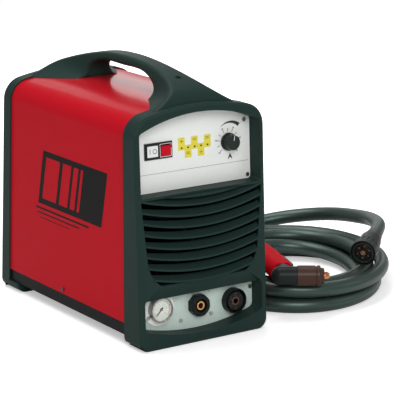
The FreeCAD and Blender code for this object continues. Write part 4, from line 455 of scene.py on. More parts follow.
# Depth in metres of the grain of mouldings and of the lines of metal, and the colour of dust
GRAIN_RELIEF = 0.00012
LINE_RELIEF = 0.00006
DUST = (0.36, 0.34, 0.31, 1)


def paler(colour, gain, lift):
    return tuple(min(1.0, c * gain + lift) for c in colour)


def join_layers(tree, shader, surface, toned, dust, bump, relief_depth):
    """Joins a surface, its tone and its dust to the shader."""
    settled = place_group(tree, "dust", Color=toned.outputs["Color"], Roughness=surface.outputs["Roughness"],
                          Amount=dust)
    tree.links.new(settled.outputs["Color"], shader.inputs["Base Color"])
    tree.links.new(settled.outputs["Roughness"], shader.inputs["Roughness"])
    relief = node_in(tree, "Bump")
    relief.inputs["Strength"].default_value = bump
    relief.inputs["Distance"].default_value = relief_depth
    tree.links.new(surface.outputs["Height"], relief.inputs["Height"])
    tree.links.new(relief.outputs["Normal"], shader.inputs["Normal"])


def moulded(name, colour, roughness=0.5, grain=0.8, bump=0.15, wear_and_highlight=0.25, worn_and_highlit=None, dust=0.05, tone=0.08,
            coat=0.0, patch=70.0, specular=0.5):
    """Moulded plastic, rubber or paint: grain, a slow change of tone, paler corners of wear and painted
    highlight, a little dust.
    """
    if name in MATERIALS:
        return MATERIALS[name]
    material, tree, shader = start_material(name)
    worn_and_highlit = worn_and_highlit or paler(colour, 2.2, 0.03)
    surface = place_group(tree, "grain", Grain_Size=grain, Roughness=roughness, Unevenness=0.14)
    toned = place_group(tree, "tone", Color=rgba(colour), Worn_Color=rgba(worn_and_highlit), Wear=wear_and_highlight, Patch_Size=patch,
                        Tone=tone)
    join_layers(tree, shader, surface, toned, dust, bump, GRAIN_RELIEF)
    shader.inputs["Specular IOR Level"].default_value = specular
    shader.inputs["Coat Weight"].default_value = coat
    shader.inputs["Coat Roughness"].default_value = 0.12
    return material


def metal(name, colour, roughness=0.3, stretch=(1.0, 60.0, 60.0), scale=25.0, wear_and_highlight=0.2, dust=0.03, bump=0.08):
    """Bare or plated metal with brushed or turned lines."""
    if name in MATERIALS:
        return MATERIALS[name]
    material, tree, shader = start_material(name)
    surface = place_group(tree, "brushed", Stretch=stretch, Scale=scale, Roughness=roughness, Depth=0.16)
    # The paler edge colour stands for wear and for a painted highlight on the edges.
    bright = paler(colour, 1.3, 0.05)
    toned = place_group(tree, "tone", Color=rgba(colour), Worn_Color=rgba(bright), Wear=wear_and_highlight, Patch_Size=18.0,
                        Tone=0.16)
    join_layers(tree, shader, surface, toned, dust, bump, LINE_RELIEF)
    shader.inputs["Metallic"].default_value = 1.0
    return material


def clear(name, colour, roughness=0.04, transmission=1.0, ior=1.35):
    """Clear or tinted plastic and glass, with faint uneven polish."""
    if name in MATERIALS:
        return MATERIALS[name]
    material, tree, shader = start_material(name)
    surface = place_group(tree, "grain", Grain_Size=6.0, Roughness=roughness, Unevenness=0.04)
    tree.links.new(surface.outputs["Roughness"], shader.inputs["Roughness"])
    shader.inputs["Base Color"].default_value = rgba(colour)
    shader.inputs["Transmission Weight"].default_value = transmission
    shader.inputs["IOR"].default_value = ior
    return material


def ink(name, colour, roughness=0.45, specular=0.5):
    """Screen-printed ink with a slightly uneven film."""
    return moulded(name, colour, roughness, grain=0.5, bump=0.05, wear_and_highlight=0.0, dust=0.02, tone=0.10, patch=20.0,
                   specular=specular)


# Settings

def colour_setting(name, text, value):
    return FloatVectorProperty(name=name, description=text, default=value, subtype="COLOR", size=3,
                               min=0, max=1)


def length_setting(name, text, value, low, high):
    return FloatProperty(name=name, description=text, default=value, min=low, max=high, subtype="DISTANCE",
                         unit="LENGTH")


def power_setting(name, text, value):
    return FloatProperty(name=name, description=text, default=value, min=0, subtype="POWER", unit="POWER")


class CutterColours(PropertyGroup):
    cover_red: colour_setting("Cover Red", "Powder coat of the folded cover", (0.465, 0.005, 0.014))
    frame_grey: colour_setting("Frame Grey", "Moulded ends and handle", (0.015, 0.033, 0.028))
    panel_silver: colour_setting("Panel Silver", "Printed film of the control panel", (0.820, 0.840, 0.815))
    lower_silver: colour_setting("Lower Silver", "Film round the connections", (0.520, 0.640, 0.585))
    hose_grey: colour_setting("Hose Grey", "Sheath of the torch hose", (0.016, 0.027, 0.023))
    label_yellow: colour_setting("Label Yellow", "Tabs round the status lamps", (0.740, 0.650, 0.055))
    torch_red: colour_setting("Torch Red", "Moulded grip of the torch", (0.470, 0.006, 0.014))


class CutterSizes(PropertyGroup):
    corner_ease: FloatProperty(name="Corner Ease", description="Radius of moulded corners, in mm",
                               default=0.9, min=0.1, max=2.0)
    hose_diameter: length_setting("Hose Diameter", "Outside of the torch hose", 0.025, 0.005, 0.06)
    hose_length: length_setting("Hose Length", "From the torch's boot to the plug", 4.464, 1.0, 20.0)
    points_per_turn: IntProperty(name="Points per Turn", description="Points of the hose's line in each turn",
                                 default=24, min=12, max=60)
    print_line: FloatProperty(name="Printed Line", description="Width of a printed line, in mm",
                              default=0.5, min=0.1, max=2.0)


class CutterStudio(PropertyGroup):
    lens: FloatProperty(name="Lens", description="Focal length on a 36 mm wide sensor", default=174.2, min=20,
                        max=400, subtype="DISTANCE_CAMERA")
    azimuth: FloatProperty(name="Azimuth", description="Direction of view, in degrees", default=-34.35)
    elevation: FloatProperty(name="Elevation", description="Height of the view, in degrees", default=14.19)
    key_power: power_setting("Key Power", "Large soft lamp in front", 68.0)
    fill_power: power_setting("Fill Power", "Soft lamp on the hose's side", 6.0)
    top_power: power_setting("Top Power", "Overhead soft box", 42.0)
    back_power: power_setting("Backdrop Power", "Pale card behind, mirrored in the roof", 9.0)
    room_light: FloatProperty(name="Room Light", description="Even light from all round", default=0.36, min=0,
                              max=2)


def colours():
    return bpy.context.scene.cutter_colours


def sizes():
    return bpy.context.scene.cutter_sizes


def studio():
    return bpy.context.scene.cutter_studio


def frame_plastic():
    return moulded("Frame Plastic", tuple(colours().frame_grey), 0.44, grain=0.9, bump=0.20, wear_and_highlight=0.12,
                   worn_and_highlit=(0.036, 0.054, 0.048), dust=0.008, tone=0.08, specular=0.07)


def red_powder_coat():
    """Powder coat, glossier where it faces up; its inner side is near-black, as painted shade of the case's
    dark inside.
    """
    name = "Red Powder Coat"
    if name in MATERIALS:
        return MATERIALS[name]
    material = moulded(name, tuple(colours().cover_red), 0.34, grain=2.4, bump=0.04, wear_and_highlight=0.0, dust=0.0,
                       tone=0.04, patch=160.0, specular=0.03)
    tree = material.node_tree
    shader = tree.nodes["Principled BSDF"]
    masks = place_group(tree, "folded", Middle=0.2)
    painted = shader.inputs["Base Color"].links[0].from_socket
    # Painted shade: the cover's inner side, seen through the louvres, is near-black instead of red.
    both = mix_colour(tree, masks.outputs["Inner"], painted, (0.004, 0.004, 0.0045, 1.0))
    tree.links.new(both, shader.inputs["Base Color"])
    tree.links.new(masks.outputs["Gloss"], shader.inputs["Coat Weight"])
    shader.inputs["Coat Roughness"].default_value = 0.16
    return material


def black_powder_coat():
    return moulded("Black Powder Coat", (0.009, 0.010, 0.010), 0.42, grain=1.8, bump=0.12, wear_and_highlight=0.1,
                   dust=0.01, specular=0.06)


def black_plastic():
    return moulded("Black Plastic", (0.010, 0.016, 0.014), 0.34, grain=0.6, bump=0.08, wear_and_highlight=0.2, dust=0.02,
                   specular=0.2)


def hose_rubber():
    material = moulded("Hose Sheath", tuple(colours().hose_grey), 0.37, grain=3.0, bump=0.30, wear_and_highlight=0.0,
                       dust=0.01, tone=0.16, patch=26.0, specular=0.90)
    shader = material.node_tree.nodes["Principled BSDF"]
    shader.inputs["Specular Tint"].default_value = (0.60, 0.85, 0.76, 1.0)
    return material


def bright_zinc():
    return metal("Bright Zinc", (0.56, 0.57, 0.56), 0.30)


def black_ink():
    return ink("Black Ink", (0.018, 0.019, 0.020))


# Stage

CAMERA_AT = (-1.652, -2.6146, 0.9664)
CAMERA_ROLL = math.radians(0.11)
FLOOR_HALF = 3.0


def looking(at, ahead):
    """Place and turn of a lamp or camera at a point that looks along a direction."""
    return Matrix.Translation(Vector(at)) @ ahead.to_track_quat("-Z", "Y").to_matrix().to_4x4()


class CUTTER_OT_stage(Operator):
    """White floor, soft studio lamps, room light and the camera"""
    bl_idname = "cutter.stage"
    bl_label = "Stage"

    def execute(self, context):
        self.camera(context)
        self.floor()
        self.world(context)
        self.lamps()
        context.scene.view_settings.view_transform = "Standard"
        return {"FINISHED"}

    def camera(self, context):
        settings = studio()
        data = bpy.data.cameras.new("Studio Camera")
        data.lens = settings.lens
        data.sensor_width = 36.0
        data.clip_end = 60.0
        camera = link(bpy.data.objects.new("Studio Camera", data))
        a, e = math.radians(settings.azimuth), math.radians(settings.elevation)
        ahead = Vector((-math.sin(a) * math.cos(e), math.cos(a) * math.cos(e), -math.sin(e)))
        camera.matrix_world = looking(CAMERA_AT, ahead) @ Matrix.Rotation(CAMERA_ROLL, 4, "Z")
        context.scene.camera = camera

    def floor(self):
        bm = bmesh.new()
        bm.faces.new([bm.verts.new((sx * FLOOR_HALF, sy * FLOOR_HALF, 0.0))
                      for sx, sy in ((-1, -1), (1, -1), (1, 1), (-1, 1))])
        floor = mesh_piece("studio_floor", bm)
        material, tree, shader = start_material("Studio Floor")
        shader.inputs["Base Color"].default_value = grey(0.86)
        shader.inputs["Roughness"].default_value = 0.7
        shader.inputs["Specular IOR Level"].default_value = 0.2
        # The camera also sees a glow of the floor that is weaker near the unit, where its shadows lie
        light_path = node_in(tree, "LightPath")
        glow = node_in(tree, "Emission")
        glow.inputs["Color"].default_value = grey(1.0)
        reach = node_in(tree, "VectorMath", operation="LENGTH")
        tree.links.new(own_place(tree), reach.inputs[0])
        lift = map_range(tree, reach.outputs["Value"], 0.45, 1.1, 0.42)
        lifted = math_node(tree, "MULTIPLY", light_path.outputs["Is Camera Ray"], lift)
        tree.links.new(lifted, glow.inputs["Strength"])
        both = node_in(tree, "AddShader")
        tree.links.new(shader.outputs[0], both.inputs[0])
        tree.links.new(glow.outputs[0], both.inputs[1])
        tree.links.new(both.outputs[0], tree.nodes["Material Output"].inputs["Surface"])
        floor.data.materials.append(material)

    def world(self, context):
        world = bpy.data.worlds.new("Studio World")
        world.use_nodes = True
        tree = world.node_tree
        back = tree.nodes["Background"]
        light_path = node_in(tree, "LightPath")
        seen = math_node(tree, "MAXIMUM", light_path.outputs["Is Camera Ray"],
                         math_node(tree, "MULTIPLY", light_path.outputs["Is Transmission Ray"], 0.9))
        level = map_range(tree, seen, 0.0, 1.0, studio().room_light)
        back.inputs["Color"].default_value = grey(1.0)
        tree.links.new(level, back.inputs["Strength"])
        context.scene.world = world

    def lamps(self):
        settings = studio()
        for name, at, aim, size, power in (
                ("Key", (-1.4, -3.0, 2.1), (0.0, 0.0, 0.2), (1.8, 1.6), settings.key_power),
                ("Fill", (2.3, -1.9, 1.5), (0.2, 0.0, 0.15), (1.8, 1.4), settings.fill_power),
                ("Overhead", (-0.2, 0.5, 2.6), (0.0, 0.0, 0.2), (2.4, 1.2), settings.top_power),
                ("Backdrop", (1.64, 2.4, 1.13), (0.0, 0.0, 0.4), (3.0, 1.4), settings.back_power)):
            data = bpy.data.lights.new(name, "AREA")
            data.shape = "RECTANGLE"
            data.size, data.size_y = size
            data.energy = power
            lamp = link(bpy.data.objects.new(name, data))
            lamp.visible_camera = False
            lamp.matrix_world = looking(at, Vector(aim) - Vector(at))


# Hose

# Places in metres; those of both runs are counted from the coil's middle, along its axes
COIL_AT = (0.311, -0.032)
COIL_TURN = math.radians(-34.35)
COIL_HALF_SHORT, COIL_HALF_LONG = 0.159, 0.192
TURN_STEP, LAYER_STEP = 0.0264, 0.0262
TOP_QUARTERS, CLIMB_QUARTERS, LOW_QUARTERS = 7, 2, 6
HOSE_START = (0.24938, 0.00860, 0.0687)
TORCH_RUN = ((-0.08278, 0.03154, 0.0687), (-0.117, 0.077, 0.068), (-0.126, 0.114, 0.061),
             (-0.117, 0.152, 0.052), (-0.091, 0.180, 0.043), (-0.054, 0.192, 0.0387))
PLUG_RUN = ((-0.1524, 0.072, 0.0125), (-0.150, 0.150, 0.020), (-0.106, 0.217, 0.034), (-0.028, 0.250, 0.050),
            (0.074, 0.229, 0.066), (0.137, 0.146, 0.079), (0.152, 0.086, 0.086))
HOSE_END = ((0.46095, -0.08033, 0.08611), (0.42895, -0.10570, 0.08242))


def coil_to_case(u, v, z):
    c, s = math.cos(COIL_TURN), math.sin(COIL_TURN)
    return Vector((COIL_AT[0] + c * u - s * v, COIL_AT[1] + s * u + c * v, z))


def coil_point(q, grow):
    """The coil's line after q quarter turns: in on the upper layer, down, and out on the floor."""
    turning = TOP_QUARTERS + CLIMB_QUARTERS / 2
    inset = TURN_STEP / 4 * (q if q <= turning else 2 * turning - q)
    climbed = min(max((q - TOP_QUARTERS) / CLIMB_QUARTERS, 0.0), 1.0)
    a = math.radians(90 - 90 * q)
    short, long = COIL_HALF_SHORT - inset, COIL_HALF_LONG - inset
    return coil_to_case(short * grow * math.cos(a), long * grow * math.sin(a),
                        sizes().hose_diameter / 2 + LAYER_STEP * (1 - climbed))


def hose_points():
    """The chosen points of the hose, from the torch's boot through the coil to the plug."""
    quarters = TOP_QUARTERS + CLIMB_QUARTERS + LOW_QUARTERS
    per_quarter = sizes().points_per_turn // 4
    # The curve touches the middles of the lines between its points, so these stand a little outside it
    grow = 1 / math.cos(math.pi / sizes().points_per_turn)
    points = [Vector(HOSE_START)] + [coil_to_case(*p) for p in TORCH_RUN]
    points += [coil_point(i / per_quarter, grow) for i in range(quarters * per_quarter + 1)]
    points += [coil_to_case(*p) for p in PLUG_RUN] + [Vector(p) for p in HOSE_END]
    return points


class CUTTER_OT_hose(Operator):
    """Torch hose in one length: two free stretches and the coil between them"""
    bl_idname = "cutter.hose"
    bl_label = "Hose"

    def execute(self, context):
        points = hose_points()
        curve = bpy.data.curves.new("torch_hose", "CURVE")
        curve.dimensions = "3D"
        spline = curve.splines.new("NURBS")
        spline.points.add(len(points) - 1)
        for point, at in zip(spline.points, points):
            point.co = (at.x, at.y, at.z, 1.0)
        spline.order_u = 3
        spline.use_endpoint_u = True
        spline.resolution_u = 6
        curve.bevel_depth = sizes().hose_diameter / 2
        curve.bevel_resolution = 7
        curve.use_fill_caps = True
        hose = link(bpy.data.objects.new("torch_hose", curve))
        curve.materials.append(hose_rubber())
        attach(hose, "case")
        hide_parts("hose_coil", "hose_torch_run", "hose_plug_run")
        return {"FINISHED"}


# Case

# The front moulding's corners are eased this much more
FRONT_EASE = 1.5


class CUTTER_OT_moulded_frames(Operator):
    """Moulded ends and carry handle"""
    bl_idname = "cutter.moulded_frames"
    bl_label = "Moulded Frames"

    def execute(self, context):
        ease = sizes().corner_ease
        eased("front_bezel", frame_plastic(), ease * FRONT_EASE, segments=3)
        eased("rear_bezel", frame_plastic(), ease)
        eased("handle", frame_plastic(), ease)
        return {"FINISHED"}


class CUTTER_OT_sheet_metal(Operator):
    """Red cover, black tray and rear panel"""
    bl_idname = "cutter.sheet_metal"
    bl_label = "Sheet Metal"

    def execute(self, context):
        finish_node("cover", red_powder_coat())
        NODES["cover"].data.shade_smooth()
        eased("base_tray", black_powder_coat(), 0.4)
        eased("rear_panel", black_powder_coat(), 0.3)
        return {"FINISHED"}


# Side graphic in mm, forwards from the middle of the case and up from the floor
FIELD = (-104, 96, 176, 268, 20)
STRIPES = ((-112, 58, 168, 3.4), (-106, 28, 160, 2.4), (-100, -2, 152, 1.4))
CUTS = ((-90, 44), (-36, 26), (-2, 14), (20, 7))


class CUTTER_OT_side_graphic(Operator):
    """Printed side graphic: a dark field with slanted bars, over three plain stripes"""
    bl_idname = "cutter.side_graphic"
    bl_label = "Side Graphic"

    def slanted(self, x0, x1, low, high, lean):
        """A block whose ends lean forwards."""
        return [(x0, low), (x1, low), (x1 + lean, high), (x0 + lean, high)]

    def execute(self, context):
        matrix = side_matrix()
        black = ink("Side Black", (0.010, 0.009, 0.009), roughness=0.40, specular=0.04)
        field = [self.slanted(*FIELD)] + [bar(x0, y, x1, y, width) for x0, x1, y, width in STRIPES]
        flat_shapes("side_graphic_field", field, matrix, black, rise=0.05)
        red = ink("Side Red", tuple(c * 0.98 for c in colours().cover_red), roughness=0.40, specular=0.03)
        cuts = [self.slanted(x, x + width, low=186, high=258, lean=16) for x, width in CUTS]
        flat_shapes("side_graphic_cuts", cuts, matrix, red, rise=0.10)
        return {"FINISHED"}


# Control panel

# Places in mm, to the right of the middle and up the front face
SWITCH_AT = (-61.5, 309.6)
ROCKER_RIGHT = 12.5
LABEL_LEFT = 11.5
ON_LEFT = 16.5
OFF_LEFT = 7.5
LED_AT = (-17.7, 308.1)
LED_PITCH = 12.2
LED_COUNT = 5
KNOB_AT = (70.5, 308.0)
GAUGE_AT = (-69.5, 59.0)
EARTH_SIGN_AT = (27.0, 78.0)
FILM_LINE_AT = 273.8
FILM_EDGE = 3.5
# Depth of the gauge's card in mm behind the front face, and the knob's turn in degrees as photographed
CARD_DEPTH = 20.2
KNOB_REST = math.radians(10.0)
# Both dials run from this angle to that one, in degrees
SCALE_START = 225
SCALE_END = -45
GAUGE_TICKS = 40
# Signs beside the lamps in mm: how far off, half their length, and their line
SIGN_OFF = 10.3
SIGN_HALF = 3.4
SIGN_LINE = 0.8


def scale_angle(step, steps):
    return SCALE_START + (SCALE_END - SCALE_START) * step / steps


def tick(centre, inner, outer, angle, width):
    """A stroke of a scale, from one radius to the other."""
    return bar(*ring_point(centre, inner, angle), *ring_point(centre, outer, angle), width)


def scale_numbers(centre, radius, first, each):
    """The numbers at every second of ten steps of a dial, with their places."""
    return [(str(first + each * i), *ring_point(centre, radius, scale_angle(i, 10))) for i in range(0, 11, 2)]


class CUTTER_OT_control_panel(Operator):
    """Control plate with its printed film"""
    bl_idname = "cutter.control_panel"
    bl_label = "Control Panel"

    def execute(self, context):
        film = moulded("Panel Film", tuple(colours().panel_silver), 0.34, grain=0.35, bump=0.05, wear_and_highlight=0.1,
                       dust=0.02, tone=0.05, coat=0.15, patch=220.0)
        finish_node("control_plate", film)
        matrix = face_matrix(front_depth("control_plate"))
        line = sizes().print_line
        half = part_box("control_plate")[1].x / MM - FILM_EDGE
        marks = [bar(-half, FILM_LINE_AT, half, FILM_LINE_AT, line)]
        marks += self.dial_marks(line) + self.lamp_marks()
        flat_shapes("panel_marks", marks, matrix, black_ink())
        numbers = scale_numbers(KNOB_AT, radius=23.3, first=20, each=5)
        printed_text("dial_numbers", numbers, matrix, size=3.8, weight=0.08)
        unit = [("A", KNOB_AT[0] + 3.5, KNOB_AT[1] - 24.0)]
        printed_text("unit_letter", unit, matrix, size=11.0, weight=0.5)
        self.tabs(matrix)
        return {"FINISHED"}

    def dial_marks(self, line):
        """Eleven strokes round the knob and a band over them that widens to the right."""
        marks = [tick(KNOB_AT, inner=16.5, outer=21.5, angle=scale_angle(i, 10), width=1.8 * line)
                 for i in range(11)]
        over = (KNOB_AT[0] + 4, KNOB_AT[1] + 4)
        return marks + [arc_band(over, radius=27.0, start=130, end=50, width0=0.5, width1=6.0)]

    def lamp_marks(self):
        """A plain sign at each lamp, above and below by turns: a cross or two lines."""
        marks = []
        for i in range(LED_COUNT):
            x = LED_AT[0] + i * LED_PITCH
            y = LED_AT[1] + (SIGN_OFF if i % 2 == 0 else -SIGN_OFF)
            marks.append(bar(x - SIGN_HALF, y, x + SIGN_HALF, y, SIGN_LINE))
            if i % 3 == 0:
                marks.append(bar(x, y - 3.0, x, y + 3.0, SIGN_LINE))
            else:
                marks.append(bar(x - SIGN_HALF, y + 2.6, x + SIGN_HALF, y + 2.6, SIGN_LINE))
        return marks

    def tabs(self, matrix):
        yellow = ink("Tab Yellow", tuple(colours().label_yellow))
        for name, first, off, rise in (("upper_tabs", 0, 6.2, 0.02), ("lower_tabs", 1, -6.2, 0.03)):
            shapes = [rounded_rectangle((LED_AT[0] + i * LED_PITCH, LED_AT[1] + off), width=12.8, height=20.5,
                                        radius=1.6) for i in range(first, LED_COUNT, 2)]
            flat_shapes(name, shapes, matrix, yellow, rise=rise)


class CUTTER_OT_controls(Operator):
    """Switch, status lamps and knob"""
    bl_idname = "cutter.controls"
    bl_label = "Controls"

    def execute(self, context):
        eased("switch_housing", black_plastic(), 0.35)
        red = moulded("Rocker Red", (0.52, 0.007, 0.018), 0.30, grain=1.5, bump=0.04, wear_and_highlight=0.0, dust=0.0,
                      specular=0.06)
        eased("switch_rocker", red, 0.4)
        lens = moulded("Lamp Lens", (0.05, 0.02, 0.012), 0.2, grain=2.0, bump=0.02, wear_and_highlight=0.0, dust=0.02,
                       coat=0.5)
        finish_node("status_leds", lens)
        dark = moulded("Knob Plastic", (0.014, 0.021, 0.019), 0.42, grain=0.8, bump=0.12, wear_and_highlight=0.2,
                       specular=0.2)
        eased("knob", dark, 0.35)
        self.switch_label()
        self.knob_line()
        return {"FINISHED"}

    def switch_label(self):
        """White pad with the signs for on and off, and a white outline round the rocker."""
        x, h = SWITCH_AT
        matrix = face_matrix(front_depth("switch_housing"))
        white = ink("Label White", (0.80, 0.81, 0.80))
        pad = [rounded_rectangle((x - LABEL_LEFT, h), width=19.5, height=17.5, radius=1.0)]
        flat_shapes("switch_label", pad, matrix, white, rise=0.05)
        rim = frame_bars((x + ROCKER_RIGHT, h), width=20.6, height=20.2, line=0.8)
        flat_shapes("rocker_outline", rim, matrix, white, rise=0.05)
        on, off = x - ON_LEFT, (x - OFF_LEFT, h)
        signs = [bar(on, h - 3.6, on, h + 3.6, width=0.9)]
        signs += [arc_band(off, radius=3.4, start=start, end=start + 179.9, width0=0.9) for start in (0, 180)]
        flat_shapes("switch_signs", signs, matrix, black_ink(), rise=0.10)

    def knob_line(self):
        """White pointer filled into the knob's groove."""
        matrix = face_matrix(front_depth("knob"), KNOB_AT) @ Matrix.Rotation(-KNOB_REST, 4, "Z")
        white = ink("Pointer White", (0.85, 0.85, 0.83))
        pointer = [bar(0, 3.2, 0, 11.4, width=1.5)]
        flat_shapes("knob_pointer", pointer, matrix, white, rise=-0.55, body="dial_knob")


# Connections

class CUTTER_OT_connections(Operator):
    """Connection plate, pressure gauge and the two sockets"""
    bl_idname = "cutter.connections"
    bl_label = "Connections"

    def execute(self, context):
        film = moulded("Lower Film", tuple(colours().lower_silver), 0.38, grain=0.4, bump=0.06, wear_and_highlight=0.1,
                       dust=0.04, tone=0.06, coat=0.1, patch=120.0)
        finish_node("connection_plate", film)
        self.gauge()
        self.sockets()
        self.plate_marks()
        return {"FINISHED"}

    def gauge(self):
        eased("gauge_case", metal("Gauge Steel", (0.26, 0.27, 0.26), 0.22, wear_and_highlight=0.1), 0.4)
        ring = moulded("Clamp Ring", (0.93, 0.94, 0.91), 0.30, wear_and_highlight=0.0, dust=0.0, specular=0.9)
        eased("gauge_flange", ring, 0.4)
        card = moulded("Dial Card", (0.70, 0.70, 0.64), 0.5, grain=0.4, bump=0.03, wear_and_highlight=0.0, dust=0.01,
                       tone=0.04)
        finish_node("gauge_dial", card)
        finish_node("gauge_needle", ink("Needle Black", (0.012, 0.012, 0.013)))
        finish_node("gauge_lens", clear("Gauge Window", (0.97, 0.99, 0.98), ior=1.12))
        self.gauge_scale(face_matrix(CARD_DEPTH, GAUGE_AT))

    def gauge_scale(self, matrix):
        """Strokes, every fourth one longer, numbers inside them, and a ring and a red band outside."""
        middle = (0.0, 0.0)
        marks = []
        for i in range(GAUGE_TICKS + 1):
            inner, width = (12.2, 0.34) if i % 4 == 0 else (13.6, 0.18)
            marks.append(tick(middle, inner, outer=15.0, angle=scale_angle(i, GAUGE_TICKS), width=width))
        marks.append(arc_band(middle, radius=15.1, start=SCALE_START, end=SCALE_END, width0=0.3, steps=60))
        flat_shapes("gauge_marks", marks, matrix, black_ink(), rise=0.03)
        numbers = scale_numbers(middle, radius=9.6, first=0, each=1)
        printed_text("gauge_numbers", numbers, matrix, size=3.0, rise=0.03)
        band = [arc_band(middle, radius=16.3, start=20, end=SCALE_END, width0=0.7, steps=30)]
        red = ink("Gauge Red", (0.60, 0.02, 0.02))
        flat_shapes("gauge_red_band", band, matrix, red, rise=0.03)

    def sockets(self):
        insulator = moulded("Socket Insulator", (0.007, 0.011, 0.010), 0.36, grain=0.8, bump=0.14, wear_and_highlight=0.15,
                            dust=0.01, specular=0.12)
        brass = metal("Turned Brass", (0.62, 0.36, 0.14), 0.26, stretch=(40.0, 1.0, 40.0), scale=18.0)
        eased("earth_socket_body", insulator, 0.5)
        eased("earth_socket_insert", brass, 0.3)
        eased("torch_socket_body", insulator, 0.4)
        # Painted shade: the recessed contacts are darkened to a dull brown instead of bright brass.
        finish_node("torch_socket_contacts", metal("Contact Darkened As Painted Shade", (0.16, 0.085, 0.07), 0.40))
        finish_node("socket_nuts", black_plastic())

    def plate_marks(self):
        """A stem over three lines that grow shorter."""
        line = sizes().print_line
        x, y = EARTH_SIGN_AT
        marks = [bar(x, y, x, y - 4.5, line)]
        marks += [bar(x - half, y - down, x + half, y - down, line)
                  for half, down in ((4, 4.5), (2.6, 6.3), (1.2, 8.1))]
        matrix = face_matrix(front_depth("connection_plate"))
        flat_shapes("earth_sign", marks, matrix, black_ink())


# Rear, inside and screws

class CUTTER_OT_rear_fittings(Operator):
    """Fan, guard, gland, air inlet and regulator at the back"""
    bl_idname = "cutter.rear_fittings"
    bl_label = "Rear Fittings"

    def execute(self, context):
        fan = moulded("Fan Plastic", (0.011, 0.011, 0.012), 0.4, grain=0.7, bump=0.10, dust=0.10)
        finish_node("fan_frame", fan)
        finish_node("fan_rotor", fan)
        finish_node("fan_guard", bright_zinc())
        eased("cable_gland", black_plastic(), 0.4)
        eased("air_inlet_fitting", metal("Inlet Brass", (0.60, 0.40, 0.18), 0.28), 0.25)
        finish_node("air_regulator", metal("Die-cast Alloy", (0.55, 0.56, 0.57), 0.45, scale=60.0))
        finish_node("filter_bowl", clear("Bowl Plastic", (0.80, 0.86, 0.86), 0.08, 0.9))
        eased("regulator_knob", black_plastic(), 0.4)
        return {"FINISHED"}


class CUTTER_OT_inner_parts(Operator):
    """Electrical and air parts behind the louvres"""
    bl_idname = "cutter.inner_parts"
    bl_label = "Inner Parts"

    def execute(self, context):
        board = moulded("Board Green", (0.012, 0.060, 0.030), 0.35, grain=1.2, bump=0.06, wear_and_highlight=0.1, dust=0.12)
        winding = metal("Enamelled Winding", (0.35, 0.13, 0.05), 0.35, stretch=(1.0, 1.0, 90.0), scale=20.0,
                        dust=0.1)
        dark = moulded("Potting Black", (0.012, 0.012, 0.013), 0.3, grain=1.0, bump=0.08, dust=0.12)
        alloy = metal("Extruded Alloy", (0.48, 0.49, 0.50), 0.4, stretch=(60.0, 1.0, 60.0), dust=0.15)
        brass = metal("Valve Brass", (0.5, 0.33, 0.14), 0.35)
        ferrite = moulded("Ferrite", (0.03, 0.03, 0.032), 0.5, grain=1.4, bump=0.2, dust=0.12)
        for node, material in (
                ("control_board", board), ("power_board", board), ("potentiometer", bright_zinc()),
                ("knob_shaft", bright_zinc()), ("solenoid_valve", brass),
                # Painted shade: the air tube's blue is darkened nearly to black, as it lies in the dark case.
                ("air_pipe", moulded("Air Tube Darkened As Painted Shade", (0.003, 0.010, 0.045), 0.4, wear_and_highlight=0.0, dust=0.04)),
                ("heatsink", alloy), ("power_modules", dark), ("hf_unit", dark),
                ("capacitors", moulded("Capacitor Sleeve", (0.015, 0.02, 0.03), 0.25, dust=0.1)),
                ("transformer_core", ferrite), ("transformer_winding", winding), ("output_choke", winding)):
            finish_node(node, material)
        return {"FINISHED"}


class CUTTER_OT_screws(Operator):
    """Finish of the screws that hold the case and its plates"""
    bl_idname = "cutter.screws"
    bl_label = "Screws"

    def execute(self, context):
        dark = metal("Blackened Steel", (0.060, 0.062, 0.065), 0.35)
        for node in ("cover_screws", "handle_screws", "rear_screws"):
            finish_node(node, dark)
        finish_node("panel_screws", metal("Panel Screw Steel", (0.36, 0.38, 0.37), 0.30))
        return {"FINISHED"}


# Torch and plug

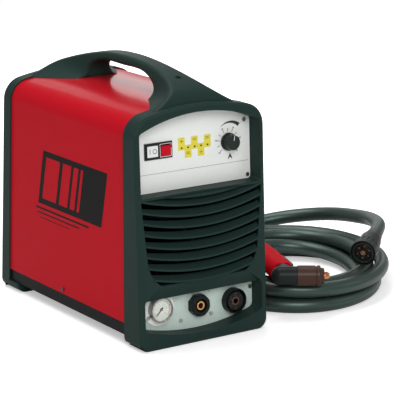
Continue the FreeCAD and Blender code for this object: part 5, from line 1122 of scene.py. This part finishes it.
class CUTTER_OT_torch(Operator):
    """Cutting torch that lies on the coil"""
    bl_idname = "cutter.torch"
    bl_label = "Torch"

    def execute(self, context):
        red = moulded("Torch Grip Red", tuple(colours().torch_red), 0.50, grain=0.9, bump=0.15, wear_and_highlight=0.05,
                      dust=0.0, specular=0.015)
        eased("torch_grip", red, 0.8)
        dark = moulded("Torch Black", (0.013, 0.019, 0.018), 0.34, grain=1.0, bump=0.08, wear_and_highlight=0.15, dust=0.01,
                       specular=0.1)
        eased("torch_head", dark, 0.6)
        eased("torch_trigger", dark, 0.6)
        eased("torch_boot", hose_rubber(), 0.5)
        phenolic = moulded("Cap Phenolic", (0.054, 0.026, 0.018), 0.32, grain=1.5, bump=0.05, wear_and_highlight=0.1,
                           coat=0.04, tone=0.15, patch=25.0, specular=0.12)
        eased("retaining_cap", phenolic, 0.5)
        copper = metal("Tip Copper", (0.62, 0.25, 0.12), 0.25, stretch=(1.0, 40.0, 40.0), scale=20.0)
        eased("cutting_tip", copper, 0.25)
        finish_node("electrode", copper)
        return {"FINISHED"}


class CUTTER_OT_plug(Operator):
    """Round plug at the far end of the hose"""
    bl_idname = "cutter.plug"
    bl_label = "Plug"

    def execute(self, context):
        plastic = moulded("Plug Plastic", (0.012, 0.018, 0.016), 0.40, grain=0.9, bump=0.16, wear_and_highlight=0.15,
                          dust=0.01, specular=0.25)
        eased("connector_body", plastic, 0.5)
        eased("connector_collar", plastic, 0.4)
        finish_node("connector_pins", metal("Pin Copper", (0.86, 0.42, 0.28), 0.26))
        return {"FINISHED"}


class CUTTER_PT_panel(Panel):
    """Steps that dress the plasma cutter unit"""
    bl_label = "Plasma Cutter Unit"
    bl_idname = "CUTTER_PT_panel"
    bl_space_type = "VIEW_3D"
    bl_region_type = "UI"
    bl_category = "Cutter"

    def draw(self, context):
        layout = self.layout
        for step in STEPS:
            layout.operator(step.bl_idname)
        for holder in (colours(), sizes(), studio()):
            box = layout.box()
            for name in holder.__annotations__:
                box.prop(holder, name)


STEPS = (CUTTER_OT_stage, CUTTER_OT_plug, CUTTER_OT_hose, CUTTER_OT_torch, CUTTER_OT_moulded_frames,
         CUTTER_OT_sheet_metal, CUTTER_OT_side_graphic, CUTTER_OT_control_panel, CUTTER_OT_controls,
         CUTTER_OT_connections, CUTTER_OT_rear_fittings, CUTTER_OT_inner_parts, CUTTER_OT_screws)
CLASSES = (CutterColours, CutterSizes, CutterStudio) + STEPS + (CUTTER_PT_panel,)
HOLDERS = {"cutter_colours": CutterColours, "cutter_sizes": CutterSizes, "cutter_studio": CutterStudio}


def register():
    for cls in CLASSES:
        bpy.utils.register_class(cls)
    for name, holder in HOLDERS.items():
        setattr(bpy.types.Scene, name, PointerProperty(type=holder))


def unregister():
    for name in HOLDERS:
        delattr(bpy.types.Scene, name)
    for cls in reversed(CLASSES):
        bpy.utils.unregister_class(cls)


def main():
    register()
    for step in STEPS:
        group, name = step.bl_idname.split(".")
        getattr(getattr(bpy.ops, group), name)()


if __name__ == "__main__":
    main()
